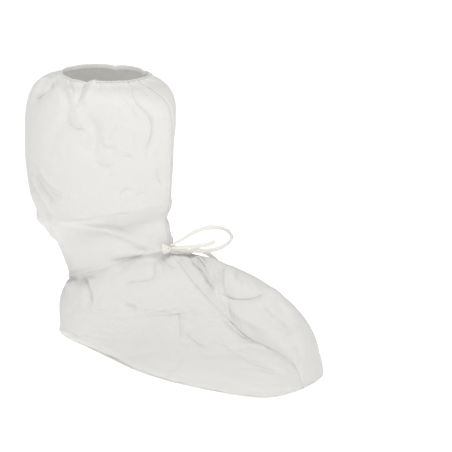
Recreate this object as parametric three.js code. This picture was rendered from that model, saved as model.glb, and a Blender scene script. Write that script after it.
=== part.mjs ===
// A right overshoe of white nonwoven cloth, worn over a shoe and tied at the ankle.
// Millimetres, +Z up, toe towards -Y, lateral side towards -X.
// The origin is on the inside of the sole, straight below the middle of the leg.
import * as THREE from "three";

// ---- driving dimensions ------------------------------------------------------------------
const WALL = 1.5; // cloth wall
const SEAM_GAP = 0.3; // between two neighbouring pieces
const SOLE_THICK = 1.6;
const SOLE_LEDGE = 0.8; // how far the sole reaches past the upper
const SUBSTEPS = 2; // grid steps between two rows of the section table
const ACROSS_STEPS = 16; // grid steps from the front seam to the back seam or the sole's edge
const RISE_SKEW = 0.62; // below 1 puts the highest line of a panel nearer the front seam
const HEM_HEIGHT = 6; // elastic hem
const HEM_THICK = 2.6;
const TAPE_WIDE = 5.5; // flat tie tape
const TAPE_THICK = 1.1;
const TAPE_ROLL = Math.PI / 2; // the free tape lies flat
const TIE_OFF = 0.6; // between the cloth and the tape round the ankle
const KNOT_SIZE = { wide: 10, deep: 8, high: 13 };

const OUTER = -1; // side of the outer (lateral) panel along X
const INNER = 1; // side of the inner (medial) panel along X

// ---- section table -----------------------------------------------------------------------
// One row per section, from the hem down the shaft, round the ankle and out to the toe.
// fx, fy, fz: the point on the front seam.
// by, bz: the point on the back seam; edge: share of the way along the sole's edge, heel to toe.
// outW, innW: how far the outer and inner panels stand out sideways from that line.
// outR, innR: how far they rise above it.
// peak: share of the way at which a panel is widest; pow: below 1 is boxier, 1 is round.
const SECTIONS = [
  { name: "hem", fx: 0, fy: -47, fz: 287, by: 47, bz: 291,
    outW: 48, innW: 48, outR: 0, innR: 0, peak: 0.5, pow: 0.42 },
  { name: "shoulder", fx: 0, fy: -66, fz: 283, by: 70, bz: 287,
    outW: 59, innW: 58, outR: 0, innR: 0, peak: 0.52, pow: 0.45 },
  { name: "top", fx: 0, fy: -86, fz: 271, by: 90, bz: 275,
    outW: 66, innW: 63, outR: 0, innR: 0, peak: 0.55, pow: 0.5 },
  { name: "calf", fx: 0, fy: -92, fz: 254, by: 99, bz: 258,
    outW: 68, innW: 65, outR: 0, innR: 0, peak: 0.58, pow: 0.52 },
  { name: "shaft_high", fx: 0, fy: -92, fz: 228, by: 101, bz: 230,
    outW: 69, innW: 65, outR: 0, innR: 0, peak: 0.6, pow: 0.54 },
  { name: "shaft_mid", fx: 0, fy: -91, fz: 200, by: 101, bz: 192,
    outW: 68, innW: 63, outR: 0, innR: 0, peak: 0.6, pow: 0.55 },
  { name: "shaft_low", fx: 0, fy: -89, fz: 176, by: 95, bz: 160,
    outW: 67, innW: 61, outR: 0, innR: 0, peak: 0.6, pow: 0.56 },
  { name: "slump_lip", fx: 0, fy: -86, fz: 158, by: 84, bz: 134,
    outW: 62, innW: 58, outR: 0, innR: 0, peak: 0.58, pow: 0.58 },
  { name: "slump_under", fx: 0, fy: -82, fz: 150, by: 77, bz: 124,
    outW: 56, innW: 53, outR: 0, innR: 0, peak: 0.56, pow: 0.6 },
  { name: "gather", fx: 0, fy: -84, fz: 135, by: 64, bz: 97,
    outW: 49, innW: 47, outR: 0, innR: 9, peak: 0.54, pow: 0.6 },
  { name: "tie_top", fx: 0, fy: -86, fz: 121, by: 51, bz: 65,
    outW: 38, innW: 37, outR: 0, innR: 15, peak: 0.5, pow: 0.6 },
  { name: "tie_foot", fx: 0, fy: -87, fz: 115, by: 51, bz: 59,
    outW: 38, innW: 37, outR: 0, innR: 15, peak: 0.5, pow: 0.6 },
  { name: "below_tie", fx: -3, fy: -101, fz: 111, by: 60, bz: 50,
    outW: 42, innW: 40, outR: 0, innR: 17, peak: 0.52, pow: 0.63 },
  { name: "heel_high", fx: -7, fy: -123, fz: 96, by: 68, bz: 34,
    outW: 46, innW: 43, outR: 2, innR: 31, peak: 0.56, pow: 0.6 },
  { name: "heel_low", fx: -9, fy: -142, fz: 81, by: 68, bz: 15,
    outW: 47, innW: 44, outR: 3, innR: 46, peak: 0.62, pow: 0.56 },
  { name: "heel_tip", fx: -9, fy: -153, fz: 72, edge: 0,
    outW: 46, innW: 44, outR: 4, innR: 58, peak: 0.64, pow: 0.55 },
  { name: "heel_side", fx: -9, fy: -163, fz: 66, edge: 0.1,
    outW: 24, innW: 26, outR: 6, innR: 65, peak: 0.58, pow: 0.7 },
  { name: "arch", fx: -9, fy: -173, fz: 60, edge: 0.25,
    outW: 18, innW: 22, outR: 7, innR: 70, peak: 0.58, pow: 0.8 },
  { name: "waist", fx: -8, fy: -185, fz: 53, edge: 0.4,
    outW: 15, innW: 19, outR: 7, innR: 72, peak: 0.6, pow: 0.9 },
  { name: "ball", fx: -6, fy: -200, fz: 45, edge: 0.55,
    outW: 13, innW: 16, outR: 7, innR: 71, peak: 0.6, pow: 0.9 },
  { name: "toes", fx: -3, fy: -216, fz: 40, edge: 0.7,
    outW: 11, innW: 14, outR: 6, innR: 65, peak: 0.6, pow: 0.9 },
  { name: "toe_box", fx: 2, fy: -234, fz: 34, edge: 0.82,
    outW: 8, innW: 11, outR: 5, innR: 50, peak: 0.58, pow: 0.85 },
  { name: "toe_front", fx: 6, fy: -248, fz: 23, edge: 0.92,
    outW: 5, innW: 7, outR: 2, innR: 30, peak: 0.55, pow: 0.8 },
  { name: "toe_tip", fx: 9, fy: -257, fz: SEAM_GAP, edge: 1,
    outW: 0, innW: 0, outR: 0, innR: 0, peak: 0.5, pow: 0.9 },
];

// ---- sole outline ------------------------------------------------------------------------
// y: place along the foot; outer, inner: how far the edge is from the foot's middle line.
const SOLE_EDGE = [
  { y: 66, outer: 0, inner: 0 },
  { y: 58, outer: 21, inner: 22 },
  { y: 34, outer: 33, inner: 34 },
  { y: 0, outer: 39.5, inner: 40 },
  { y: -42, outer: 49, inner: 46 },
  { y: -88, outer: 58.5, inner: 53 },
  { y: -130, outer: 60.5, inner: 59 },
  { y: -178, outer: 55, inner: 63 },
  { y: -218, outer: 46, inner: 66 },
  { y: -244, outer: 33, inner: 60 },
  { y: -254, outer: 10, inner: 38 },
  { y: -257, outer: -9, inner: 9 },
];

// ---- fold table --------------------------------------------------------------------------
// Each fold is a straight ridge (height above 0) or valley (height below 0) on one panel.
// s0, t0 to s1, t1: its two ends; s counts the rows of the section table from 0, and t is the
// share of the way back from the front seam. wide: distance over which it fades.
const FOLDS = [
  { side: OUTER, name: "dart under the hem",
    s0: 0.2, t0: 0.36, s1: 2.1, t1: 0.38, wide: 7, height: -5 },
  { side: OUTER, name: "pleat behind the dart",
    s0: 0.2, t0: 0.62, s1: 1.7, t1: 0.5, wide: 7, height: -3 },
  { side: OUTER, name: "roll on the rear shoulder",
    s0: 2.4, t0: 0.9, s1: 0.9, t1: 0.82, wide: 8, height: 3 },
  { side: OUTER, name: "crease under the roll",
    s0: 2.8, t0: 0.82, s1: 1.1, t1: 0.74, wide: 7, height: -4 },
  { side: OUTER, name: "broad hollow behind",
    s0: 2.4, t0: 0.5, s1: 4.9, t1: 0.68, wide: 15, height: -4 },
  { side: OUTER, name: "dimple",
    s0: 2.7, t0: 0.4, s1: 3.4, t1: 0.3, wide: 8, height: -3 },
  { side: OUTER, name: "hollow below the dimple",
    s0: 3.5, t0: 0.34, s1: 4.7, t1: 0.34, wide: 9, height: -2.5 },
  { side: OUTER, name: "long crease near the front, upper",
    s0: 1.2, t0: 0.16, s1: 2.25, t1: 0.06, wide: 7, height: -2.5 },
  { side: OUTER, name: "long crease near the front, lower",
    s0: 2.7, t0: 0.06, s1: 4.7, t1: 0.09, wide: 7, height: -2 },
  { side: OUTER, name: "rear ridge, inner",
    s0: 4.7, t0: 0.62, s1: 6.3, t1: 0.48, wide: 7, height: 2.5 },
  { side: OUTER, name: "rear ridge, outer",
    s0: 5.1, t0: 0.74, s1: 6.4, t1: 0.64, wide: 7, height: 2 },
  { side: OUTER, name: "slump lip, rear",
    s0: 6.6, t0: 0.56, s1: 6.75, t1: 0.26, wide: 7, height: 3 },
  { side: OUTER, name: "slump lip, front",
    s0: 6.75, t0: 0.26, s1: 6.5, t1: 0.03, wide: 7, height: 3 },
  { side: OUTER, name: "slump hollow, rear",
    s0: 7.5, t0: 0.52, s1: 7.5, t1: 0.28, wide: 8, height: -5 },
  { side: OUTER, name: "slump hollow, front",
    s0: 7.5, t0: 0.28, s1: 7.3, t1: 0.05, wide: 8, height: -4 },
  { side: OUTER, name: "ridge to the knot, upper",
    s0: 6.95, t0: 0.46, s1: 8.1, t1: 0.3, wide: 7, height: 4 },
  { side: OUTER, name: "ridge to the knot, lower",
    s0: 8.1, t0: 0.3, s1: 8.9, t1: 0.16, wide: 7, height: 3 },
  { side: OUTER, name: "roll over the tie",
    s0: 9.6, t0: 0.8, s1: 9.4, t1: 0.34, wide: 8, height: 5 },
  { side: OUTER, name: "pocket under the tie",
    s0: 11.8, t0: 0.8, s1: 11.9, t1: 0.5, wide: 7, height: -4 },
  { side: OUTER, name: "hollow over the heel",
    s0: 12.1, t0: 0.56, s1: 13.8, t1: 0.58, wide: 8, height: -4 },
  { side: OUTER, name: "gather below the knot",
    s0: 11.7, t0: 0.07, s1: 12.7, t1: 0.18, wide: 7, height: -4 },
  { side: OUTER, name: "dimple on the side",
    s0: 13.1, t0: 0.36, s1: 13.7, t1: 0.38, wide: 7, height: -4 },
  { side: OUTER, name: "crease along the side",
    s0: 14.2, t0: 0.36, s1: 15.9, t1: 0.2, wide: 7, height: -3 },
  { side: OUTER, name: "crease at the heel",
    s0: 12.9, t0: 0.76, s1: 14, t1: 0.82, wide: 8, height: -2.5 },
  { side: INNER, name: "crease down the instep",
    s0: 12, t0: 0.05, s1: 14.7, t1: 0.05, wide: 7, height: -6 },
  { side: INNER, name: "roll beside the seam",
    s0: 16.5, t0: 0.08, s1: 19.6, t1: 0.09, wide: 7, height: 4 },
  { side: INNER, name: "hollow behind the toes",
    s0: 17.4, t0: 0.12, s1: 19.9, t1: 0.36, wide: 8, height: -5 },
  { side: INNER, name: "fold at the toe",
    s0: 21.2, t0: 0.2, s1: 22.2, t1: 0.4, wide: 8, height: -4 },
  { side: INNER, name: "slump lip",
    s0: 6.5, t0: 0.04, s1: 6.8, t1: 0.6, wide: 8, height: 3 },
  { side: INNER, name: "slump hollow",
    s0: 7.4, t0: 0.05, s1: 7.6, t1: 0.56, wide: 8, height: -5 },
  { side: INNER, name: "pouch above the tie",
    s0: 7.6, t0: 0.13, s1: 9.2, t1: 0.15, wide: 13, height: 10 },
  { side: INNER, name: "pleat above the tie, rear",
    s0: 8, t0: 0.34, s1: 9.4, t1: 0.3, wide: 8, height: -4 },
  { side: INNER, name: "roll over the tie",
    s0: 9.5, t0: 0.5, s1: 9.5, t1: 0.86, wide: 8, height: 4 },
  { side: INNER, name: "pocket under the tie",
    s0: 11.9, t0: 0.5, s1: 11.8, t1: 0.8, wide: 7, height: -4 },
  { side: INNER, name: "pleat under the hem",
    s0: 0.3, t0: 0.34, s1: 2.3, t1: 0.4, wide: 8, height: -4 },
  { side: INNER, name: "hollow on the calf",
    s0: 3, t0: 0.5, s1: 5, t1: 0.62, wide: 15, height: -4 },
];

// ---- curves and columns ------------------------------------------------------------------
const rowIndex = Object.fromEntries(SECTIONS.map((row, i) => [row.name, i]));
const LAST = SECTIONS.length - 1;
const HEEL = rowIndex.heel_tip;
const TIE_ROW = (rowIndex.tie_top + rowIndex.tie_foot) / 2;

/** A smooth curve through one triple of values for each row, read at a row number. */
function rowCurve(rows, triple) {
  const curve = new THREE.CatmullRomCurve3(rows.map((row) => new THREE.Vector3(...triple(row))));
  return (s) => curve.getPoint(THREE.MathUtils.clamp(s / (rows.length - 1), 0, 1));
}

const frontSeamAt = rowCurve(SECTIONS, (row) => [row.fx, row.fy, row.fz]);
const backSeamAt = rowCurve(SECTIONS.slice(0, HEEL + 1), (row) =>
  row.edge === undefined ? [0, row.by, row.bz] : [0, SOLE_EDGE[0].y, SEAM_GAP]);
const widthsAt = rowCurve(SECTIONS, (row) => [row.outW, row.innW, row.peak]);
const risesAt = rowCurve(SECTIONS, (row) => [row.outR, row.innR, row.pow]);
const edgeShareAt = rowCurve(SECTIONS.slice(HEEL), (row) => [row.edge, 0, 0]);

/** The sole's edge on one side, from the heel (0) to the toe (1), at the upper's foot. */
function soleEdgeCurve(side) {
  const key = side === OUTER ? "outer" : "inner";
  const points = SOLE_EDGE.map((row) => new THREE.Vector3(side * row[key], row.y, SEAM_GAP));
  return new THREE.CatmullRomCurve3(points, false, "centripetal");
}
const soleEdge = { [OUTER]: soleEdgeCurve(OUTER), [INNER]: soleEdgeCurve(INNER) };

/** Where a section ends at the back: on the back seam, or on the sole's edge. */
function backPointAt(side, s) {
  if (s <= HEEL) return backSeamAt(s);
  const share = THREE.MathUtils.clamp(edgeShareAt(s - HEEL).x, 0, 1);
  return soleEdge[side].getPointAt(share);
}

// ---- panels ------------------------------------------------------------------------------
/** A point on a panel's outer face before folds: s is a row number, t runs from 0 to 1. */
function plainPoint(side, s, t) {
  const widths = widthsAt(s);
  const rises = risesAt(s);
  const width = side === OUTER ? widths.x : widths.y;
  const rise = side === OUTER ? rises.x : rises.y;
  const warped = Math.pow(t, Math.log(0.5) / Math.log(widths.z));
  const point = frontSeamAt(s).lerp(backPointAt(side, s), t);
  point.x += side * width * Math.pow(Math.sin(Math.PI * warped), rises.z);
  point.z += rise * Math.sin(Math.PI * Math.pow(t, RISE_SKEW));
  return point;
}

/** The outward unit normal of a panel before folds. */
function plainNormal(side, s, t) {
  const step = 0.02;
  const t0 = Math.max(step, Math.min(1 - step, t));
  const s0 = Math.max(0, s - 0.25);
  const s1 = Math.min(LAST, s + 0.25);
  const along = plainPoint(side, s1, t0).sub(plainPoint(side, s0, t0));
  const across = plainPoint(side, s, t0 + step).sub(plainPoint(side, s, t0 - step));
  return along.cross(across).multiplyScalar(side).normalize();
}

/** How far all folds of a panel push a point out (+) or in (-); none show under the tie. */
function foldHeight(side, s, point) {
  let height = 0;
  for (const fold of foldLines) {
    if (fold.side !== side) continue;
    const near = fold.line.closestPointToPoint(point, true, new THREE.Vector3());
    height += fold.height * Math.exp(-near.distanceToSquared(point) / (fold.wide * fold.wide));
  }
  return height * THREE.MathUtils.smoothstep(Math.abs(s - TIE_ROW), 0.5, 1.4);
}
const foldLines = FOLDS.map((fold) => ({
  ...fold,
  line: new THREE.Line3(
    plainPoint(fold.side, fold.s0, fold.t0),
    plainPoint(fold.side, fold.s1, fold.t1),
  ),
}));

/** A point on a panel's outer face with its folds. */
function clothPoint(side, s, t) {
  const point = plainPoint(side, s, t);
  return point.addScaledVector(plainNormal(side, s, t), foldHeight(side, s, point));
}

/** Share of the way across for grid line i, closer together near both seams. */
function acrossShare(i) {
  const even = i / ACROSS_STEPS;
  const eased = (1 - Math.cos(Math.PI * even)) / 2;
  return THREE.MathUtils.lerp(even, eased, 0.6);
}

/** A panel's outer face as rows of points, with half a seam gap left at both seams. */
function panelFace(side) {
  const rows = [];
  for (let j = 0; j <= LAST * SUBSTEPS; j++) {
    const s = j / SUBSTEPS;
    const row = [];
    for (let i = 0; i <= ACROSS_STEPS; i++) {
      const point = clothPoint(side, s, acrossShare(i));
      if (i === 0 || (i === ACROSS_STEPS && s <= HEEL)) point.x += (side * SEAM_GAP) / 2;
      row.push(point);
    }
    rows.push(row);
  }
  const tip = rows[rows.length - 1];
  for (const point of tip) point.copy(tip[0]);
  return rows;
}

/** The inner face of a panel, one wall further in, kept on its own side of both seams. */
function panelLining(side, face) {
  return face.map((row, j) => row.map((point, i) => {
    const s = j / SUBSTEPS;
    const inward = gridNormal(face, i, j).multiplyScalar(side);
    const onSeam = i === 0 || (i === ACROSS_STEPS && s <= HEEL);
    const onSole = i === ACROSS_STEPS && s > HEEL;
    let reach = WALL;
    if (onSeam && inward.x * side < 0) reach = WALL / Math.max(0.5, Math.hypot(inward.y, inward.z));
    if (onSeam && inward.x * side < 0) inward.x = 0;
    if (onSole || (i === ACROSS_STEPS && s === HEEL)) inward.z = 0;
    return point.clone().addScaledVector(inward.normalize(), reach);
  }));
}

/** The unit normal of a grid of points at one of its points, by its neighbours. */
function gridNormal(grid, i, j) {
  const row = grid[j];
  const across = row[Math.min(i + 1, row.length - 1)].clone().sub(row[Math.max(i - 1, 0)]);
  const before = grid[Math.max(j - 1, 0)][i];
  const after = grid[Math.min(j + 1, grid.length - 1)][i];
  return across.cross(after.clone().sub(before)).normalize();
}

/** A closed body between two grids of points that share their layout. */
function sheetBody(face, lining, outward) {
  const vertices = [];
  const indexOf = new Map();
  const at = (point) => {
    const key = `${point.x.toFixed(5)},${point.y.toFixed(5)},${point.z.toFixed(5)}`;
    if (!indexOf.has(key)) {
      indexOf.set(key, vertices.length / 3);
      vertices.push(point.x, point.y, point.z);
    }
    return indexOf.get(key);
  };
  const triangles = [];
  const triangle = (p, q, r) => {
    const corner = [at(p), at(q), at(r)];
    if (new Set(corner).size < 3) return;
    if (outward > 0) triangles.push(...corner);
    else triangles.push(corner[0], corner[2], corner[1]);
  };
  const quad = (p, q, r, s) => {
    triangle(p, q, r);
    triangle(p, r, s);
  };
  const lastRow = face.length - 1;
  const lastCol = face[0].length - 1;
  for (let j = 0; j < lastRow; j++) {
    for (let i = 0; i < lastCol; i++) {
      quad(face[j][i], face[j + 1][i], face[j + 1][i + 1], face[j][i + 1]);
      quad(lining[j][i], lining[j][i + 1], lining[j + 1][i + 1], lining[j + 1][i]);
    }
    quad(face[j][0], lining[j][0], lining[j + 1][0], face[j + 1][0]);
    quad(face[j][lastCol], face[j + 1][lastCol], lining[j + 1][lastCol], lining[j][lastCol]);
  }
  for (let i = 0; i < lastCol; i++) {
    quad(face[0][i], face[0][i + 1], lining[0][i + 1], lining[0][i]);
    quad(face[lastRow][i], lining[lastRow][i], lining[lastRow][i + 1], face[lastRow][i + 1]);
  }
  const geometry = new THREE.BufferGeometry();
  geometry.setAttribute("position", new THREE.Float32BufferAttribute(vertices, 3));
  geometry.setIndex(triangles);
  geometry.computeVertexNormals();
  return geometry;
}

/** One cloth panel from the hem to the toe. */
function panelGeometry(side) {
  const face = panelFace(side);
  const lining = panelLining(side, face);
  const tip = face[face.length - 1][0].clone().add(new THREE.Vector3(0, WALL, 0));
  for (const point of lining[lining.length - 1]) point.copy(tip);
  return sheetBody(face, lining, side);
}

// ---- bands round the leg -----------------------------------------------------------------
/** The closed line of both panels' outer faces at one section, clockwise from above. */
function loopAt(s) {
  const points = [];
  for (let i = 0; i < ACROSS_STEPS; i++) points.push(clothPoint(OUTER, s, acrossShare(i)));
  for (let i = ACROSS_STEPS; i > 0; i--) points.push(clothPoint(INNER, s, acrossShare(i)));
  return points;
}

/** A closed band between a lower and an upper line, off: the distance of its inner face. */
function bandGeometry(lower, upper, off, thick) {
  const count = lower.length;
  const vertices = [];
  const triangles = [];
  for (let k = 0; k < count; k++) {
    const along = lower[(k + 1) % count].clone().sub(lower[(k + count - 1) % count]);
    const out = upper[k].clone().sub(lower[k]).cross(along).normalize();
    const ring = [[lower[k], off], [lower[k], off + thick], [upper[k], off + thick], [upper[k], off]];
    for (const [point, reach] of ring) vertices.push(...point.clone().addScaledVector(out, reach).toArray());
    for (let c = 0; c < 4; c++) {
      const p = k * 4 + c;
      const q = k * 4 + ((c + 1) % 4);
      const r = ((k + 1) % count) * 4 + ((c + 1) % 4);
      const s = ((k + 1) % count) * 4 + c;
      triangles.push(p, q, r, p, r, s);
    }
  }
  const geometry = new THREE.BufferGeometry();
  geometry.setAttribute("position", new THREE.Float32BufferAttribute(vertices, 3));
  geometry.setIndex(triangles);
  geometry.computeVertexNormals();
  return geometry;
}

/** The elastic hem, standing on the panels' top edges. */
function hemGeometry() {
  const rim = loopAt(0);
  const lift = (height) => rim.map((point) => point.clone().add(new THREE.Vector3(0, 0, height)));
  return bandGeometry(lift(SEAM_GAP), lift(HEM_HEIGHT), -WALL, HEM_THICK);
}

/** The tie tape round the ankle, lying in the waist of the panels. */
function tieGeometry() {
  return bandGeometry(loopAt(rowIndex.tie_foot - 0.04), loopAt(rowIndex.tie_top + 0.04), TIE_OFF, TAPE_THICK);
}

// ---- sole --------------------------------------------------------------------------------
/** The flat sole, cut a little larger than the upper's foot. */
function soleGeometry() {
  const steps = 34;
  const edge = [];
  for (let i = 0; i < steps; i++) edge.push(soleEdge[OUTER].getPointAt(i / steps));
  for (let i = steps; i > 0; i--) edge.push(soleEdge[INNER].getPointAt(i / steps));
  const count = edge.length;
  const outline = edge.map((point, k) => {
    const tangent = edge[(k + 1) % count].clone().sub(edge[(k + count - 1) % count]).normalize();
    return new THREE.Vector2(point.x + tangent.y * SOLE_LEDGE, point.y - tangent.x * SOLE_LEDGE);
  });
  const geometry = new THREE.ExtrudeGeometry(new THREE.Shape(outline), {
    depth: SOLE_THICK, bevelEnabled: false, curveSegments: 1,
  });
  return geometry.translate(0, 0, -SOLE_THICK);
}

// ---- tie ---------------------------------------------------------------------------------
const KNOT_AT = new THREE.Vector3(-8.3, -89.6, 118.2);

// Routes of the free tape, by hand, from the knot outwards.
const LOOP_ROUTE = [
  [-4.7, -92.5, 121.5], [-1, -96.5, 124.5], [4, -102, 128.5], [9, -108, 133.5], [13, -113, 137],
  [18, -118.5, 139.5], [23, -124, 141], [28, -130, 141], [33, -135.5, 139], [36.5, -139.5, 135],
  [37.5, -141, 130], [35.5, -138.5, 124.5], [31, -133.5, 120], [25, -127, 117], [18, -119, 116],
  [11.5, -111.5, 115.9], [5, -104, 116.3], [0, -98, 116.9], [-4.7, -92.5, 117.3],
];
const TAIL_LONG_ROUTE = [
  [-4.7, -92.5, 115], [1, -96.8, 114.3], [8, -101, 113.4], [14, -104.2, 113.6], [20, -107.6, 113.9],
  [26, -111, 112.4], [32.5, -115.2, 107.6], [38.5, -119.3, 100.4], [43.4, -122.9, 92.6], [47.7, -126, 84.2],
  [51.4, -128.8, 75.4], [54.6, -131.4, 66.4], [57.2, -133.7, 57.6], [59.4, -135.8, 49.4],
];
const TAIL_SHORT_ROUTE = [
  [-4.7, -92.7, 119.4], [2, -100.6, 119.8], [9.5, -108.5, 120.4], [16.5, -116, 121.2],
  [22.5, -122.5, 122.8], [27, -127.5, 126],
];

/** A flat tape as an eight-sided tube along a route; roll turns its wide side from upright. */
function tapeGeometry(route, roll) {
  const curve = new THREE.CatmullRomCurve3(route.map((at) => new THREE.Vector3(...at)), false, "centripetal");
  const a = TAPE_WIDE / 2;
  const b = TAPE_THICK / 2;
  const chamfer = TAPE_THICK * 0.25;
  const section = new THREE.Shape([
    [a, b - chamfer], [a - chamfer, b], [chamfer - a, b], [-a, b - chamfer],
    [-a, chamfer - b], [chamfer - a, -b], [a - chamfer, -b], [a, chamfer - b],
  ].map(([x, y]) => new THREE.Vector2(x, y).rotateAround(new THREE.Vector2(), roll)));
  const steps = Math.round(curve.getLength() / TAPE_WIDE);
  return new THREE.ExtrudeGeometry(section, { steps, extrudePath: curve, curveSegments: 1 });
}

/** The knot: a pinched, wrapped lump of tape. */
function knotGeometry() {
  const geometry = new THREE.SphereGeometry(0.5, 14, 9);
  geometry.scale(KNOT_SIZE.wide, KNOT_SIZE.deep, KNOT_SIZE.high);
  return geometry.translate(KNOT_AT.x, KNOT_AT.y, KNOT_AT.z);
}

// ---- pieces ------------------------------------------------------------------------------
const cloth = new THREE.MeshStandardMaterial({ color: 0xe6e5e1, roughness: 0.75, metalness: 0 });
const soleCloth = new THREE.MeshStandardMaterial({ color: 0xcfd3cb, roughness: 0.65, metalness: 0 });
const hemCloth = new THREE.MeshStandardMaterial({ color: 0xe9e7e2, roughness: 0.8, metalness: 0 });
const tape = new THREE.MeshStandardMaterial({ color: 0xe9e3d4, roughness: 0.85, metalness: 0 });

const group = new THREE.Group();
function add(name, geometry, material) {
  const mesh = new THREE.Mesh(geometry, material);
  mesh.name = name;
  group.add(mesh);
}

add("outer_panel", panelGeometry(OUTER), cloth);
add("inner_panel", panelGeometry(INNER), cloth);
add("sole", soleGeometry(), soleCloth);
add("elastic_hem", hemGeometry(), hemCloth);
add("ankle_tie", tieGeometry(), tape);
add("tie_knot", knotGeometry(), tape);
add("tie_loop", tapeGeometry(LOOP_ROUTE, TAPE_ROLL), tape);
add("tie_tail_long", tapeGeometry(TAIL_LONG_ROUTE, TAPE_ROLL), tape);
add("tie_tail_short", tapeGeometry(TAIL_SHORT_ROUTE, TAPE_ROLL), tape);

export default group;
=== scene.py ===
"""A right overshoe of white nonwoven cloth, worn, gathered by a tape at the ankle.

Millimetres in the size tables, metres in every Blender object.
+Z is up, the toe points to -Y and the outer side of the foot to -X.
"""

import logging
import math
from dataclasses import dataclass, field
from enum import Enum
from typing import Any, Callable, Sequence

import bmesh
import bpy
import numpy as np
from bpy.types import Material, Mesh, Node, NodeSocket, NodeTree, Object
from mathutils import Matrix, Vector


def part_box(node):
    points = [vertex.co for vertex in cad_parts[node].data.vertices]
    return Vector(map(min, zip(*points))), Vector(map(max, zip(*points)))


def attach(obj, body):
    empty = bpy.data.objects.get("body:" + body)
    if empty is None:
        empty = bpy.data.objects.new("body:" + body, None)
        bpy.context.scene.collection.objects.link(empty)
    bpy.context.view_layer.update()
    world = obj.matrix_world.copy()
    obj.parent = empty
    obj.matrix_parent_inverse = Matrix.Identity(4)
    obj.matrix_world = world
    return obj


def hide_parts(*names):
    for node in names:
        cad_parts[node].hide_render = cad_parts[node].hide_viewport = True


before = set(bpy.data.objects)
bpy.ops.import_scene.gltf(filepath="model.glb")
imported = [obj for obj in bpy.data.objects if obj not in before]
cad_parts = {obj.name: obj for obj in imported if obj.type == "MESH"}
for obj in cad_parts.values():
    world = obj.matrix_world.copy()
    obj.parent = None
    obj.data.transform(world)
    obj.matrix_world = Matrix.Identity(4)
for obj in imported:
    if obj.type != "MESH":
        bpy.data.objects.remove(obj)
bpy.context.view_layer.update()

LOG = logging.getLogger("overshoe")
MM = 0.001
BODY = "root"
Array = np.ndarray
Point = tuple[float, float, float]
Colour = tuple[float, float, float, float]
Pair = tuple[float, float]
Slopes = tuple[Pair, Pair]


class Side(Enum):
    """The two halves of the upper, and their direction along X."""

    OUTER = -1
    INNER = 1

    @property
    def half(self) -> int:
        """Its number in an array of both halves."""
        return 0 if self is Side.OUTER else 1


class Fold(Enum):
    """How the cloth runs across a crease."""

    CREASE = "a sharp line"
    ROLL = "a soft, round fold"
    STEP = "one side stands over the other"
    LEDGE = "a sharp edge, gentle on one side and steep on the other"


class FarEnd(Enum):
    """What a free length of tape ends in."""

    BARE = "bare"
    OBJECT = "object"


# ---- sizes of the upper ----


@dataclass(frozen=True)
class Section:
    """One section of the upper, from its front seam to its back seam or the sole's edge.

    Attributes:
        name: its name.
        front: its point on the front seam.
        back: y and z of its point on the back seam, None where it ends on the sole.
        edge: share of the way along the sole's edge where it ends.
        width: how far the outer and the inner half stand out sideways between the two ends.
        rise: how far they stand above the line between the two ends.
        peak: share of the way at which it is widest.
        power: how round it is, smaller for squarer.
    """

    name: str
    front: Point
    back: Pair | None
    edge: float
    width: Pair
    rise: Pair
    peak: float
    power: float


SECTIONS = (
    Section("hem", (0, -47, 287), (47, 291), 0, (48, 48), (0, 0), 0.5, 0.42),
    Section("shoulder", (0, -66, 283), (70, 287), 0, (59, 58), (0, 0), 0.52, 0.45),
    Section("top", (0, -86, 271), (90, 275), 0, (66, 63), (0, 0), 0.55, 0.5),
    Section("calf", (0, -92, 254), (99, 258), 0, (68, 65), (0, 0), 0.58, 0.52),
    Section("shaft_high", (0, -92, 228), (101, 230), 0, (69, 65), (0, 0), 0.6, 0.54),
    Section("shaft_mid", (0, -91, 200), (101, 192), 0, (68, 63), (0, 0), 0.6, 0.55),
    Section("shaft_low", (0, -89, 176), (95, 160), 0, (67, 61), (0, 0), 0.6, 0.56),
    Section("slump_lip", (0, -86, 158), (84, 134), 0, (62, 58), (0, 0), 0.58, 0.58),
    Section("slump_under", (0, -82, 150), (77, 124), 0, (56, 53), (0, 0), 0.56, 0.6),
    Section("gather", (0, -84, 135), (64, 97), 0, (49, 47), (0, 9), 0.54, 0.6),
    Section("tie_top", (0, -86, 121), (51, 65), 0, (38, 37), (0, 15), 0.5, 0.6),
    Section("tie_foot", (0, -87, 115), (51, 59), 0, (38, 37), (0, 15), 0.5, 0.6),
    Section("below_tie", (-3, -101, 111), (60, 50), 0, (42, 40), (0, 17), 0.52, 0.63),
    Section("heel_high", (-7, -123, 96), (68, 34), 0, (46, 43), (2, 31), 0.56, 0.6),
    Section("heel_low", (-9, -142, 81), (68, 15), 0, (47, 44), (3, 46), 0.62, 0.56),
    Section("heel_tip", (-9, -153, 72), None, 0.0, (46, 44), (4, 58), 0.64, 0.55),
    Section("heel_side", (-9, -163, 66), None, 0.1, (24, 26), (6, 65), 0.58, 0.7),
    Section("arch", (-9, -173, 60), None, 0.25, (18, 22), (7, 70), 0.58, 0.8),
    Section("waist", (-8, -185, 53), None, 0.4, (15, 19), (7, 72), 0.6, 0.9),
    Section("ball", (-6, -200, 45), None, 0.55, (13, 16), (7, 71), 0.6, 0.9),
    Section("toes", (-3, -216, 40), None, 0.7, (11, 14), (6, 65), 0.6, 0.9),
    Section("toe_box", (2, -234, 34), None, 0.82, (8, 11), (5, 50), 0.58, 0.85),
    Section("toe_front", (6, -248, 23), None, 0.92, (5, 7), (2, 30), 0.55, 0.8),
    Section("toe_tip", (9, -257, 0.3), None, 1.0, (0, 0), (0, 0), 0.5, 0.9),
)
ROW = {section.name: k for k, section in enumerate(SECTIONS)}
HEEL = ROW["heel_tip"]
LAST = len(SECTIONS) - 1
TIE_TOP = ROW["tie_top"]
TIE_ROW = (ROW["tie_top"] + ROW["tie_foot"]) / 2

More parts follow.
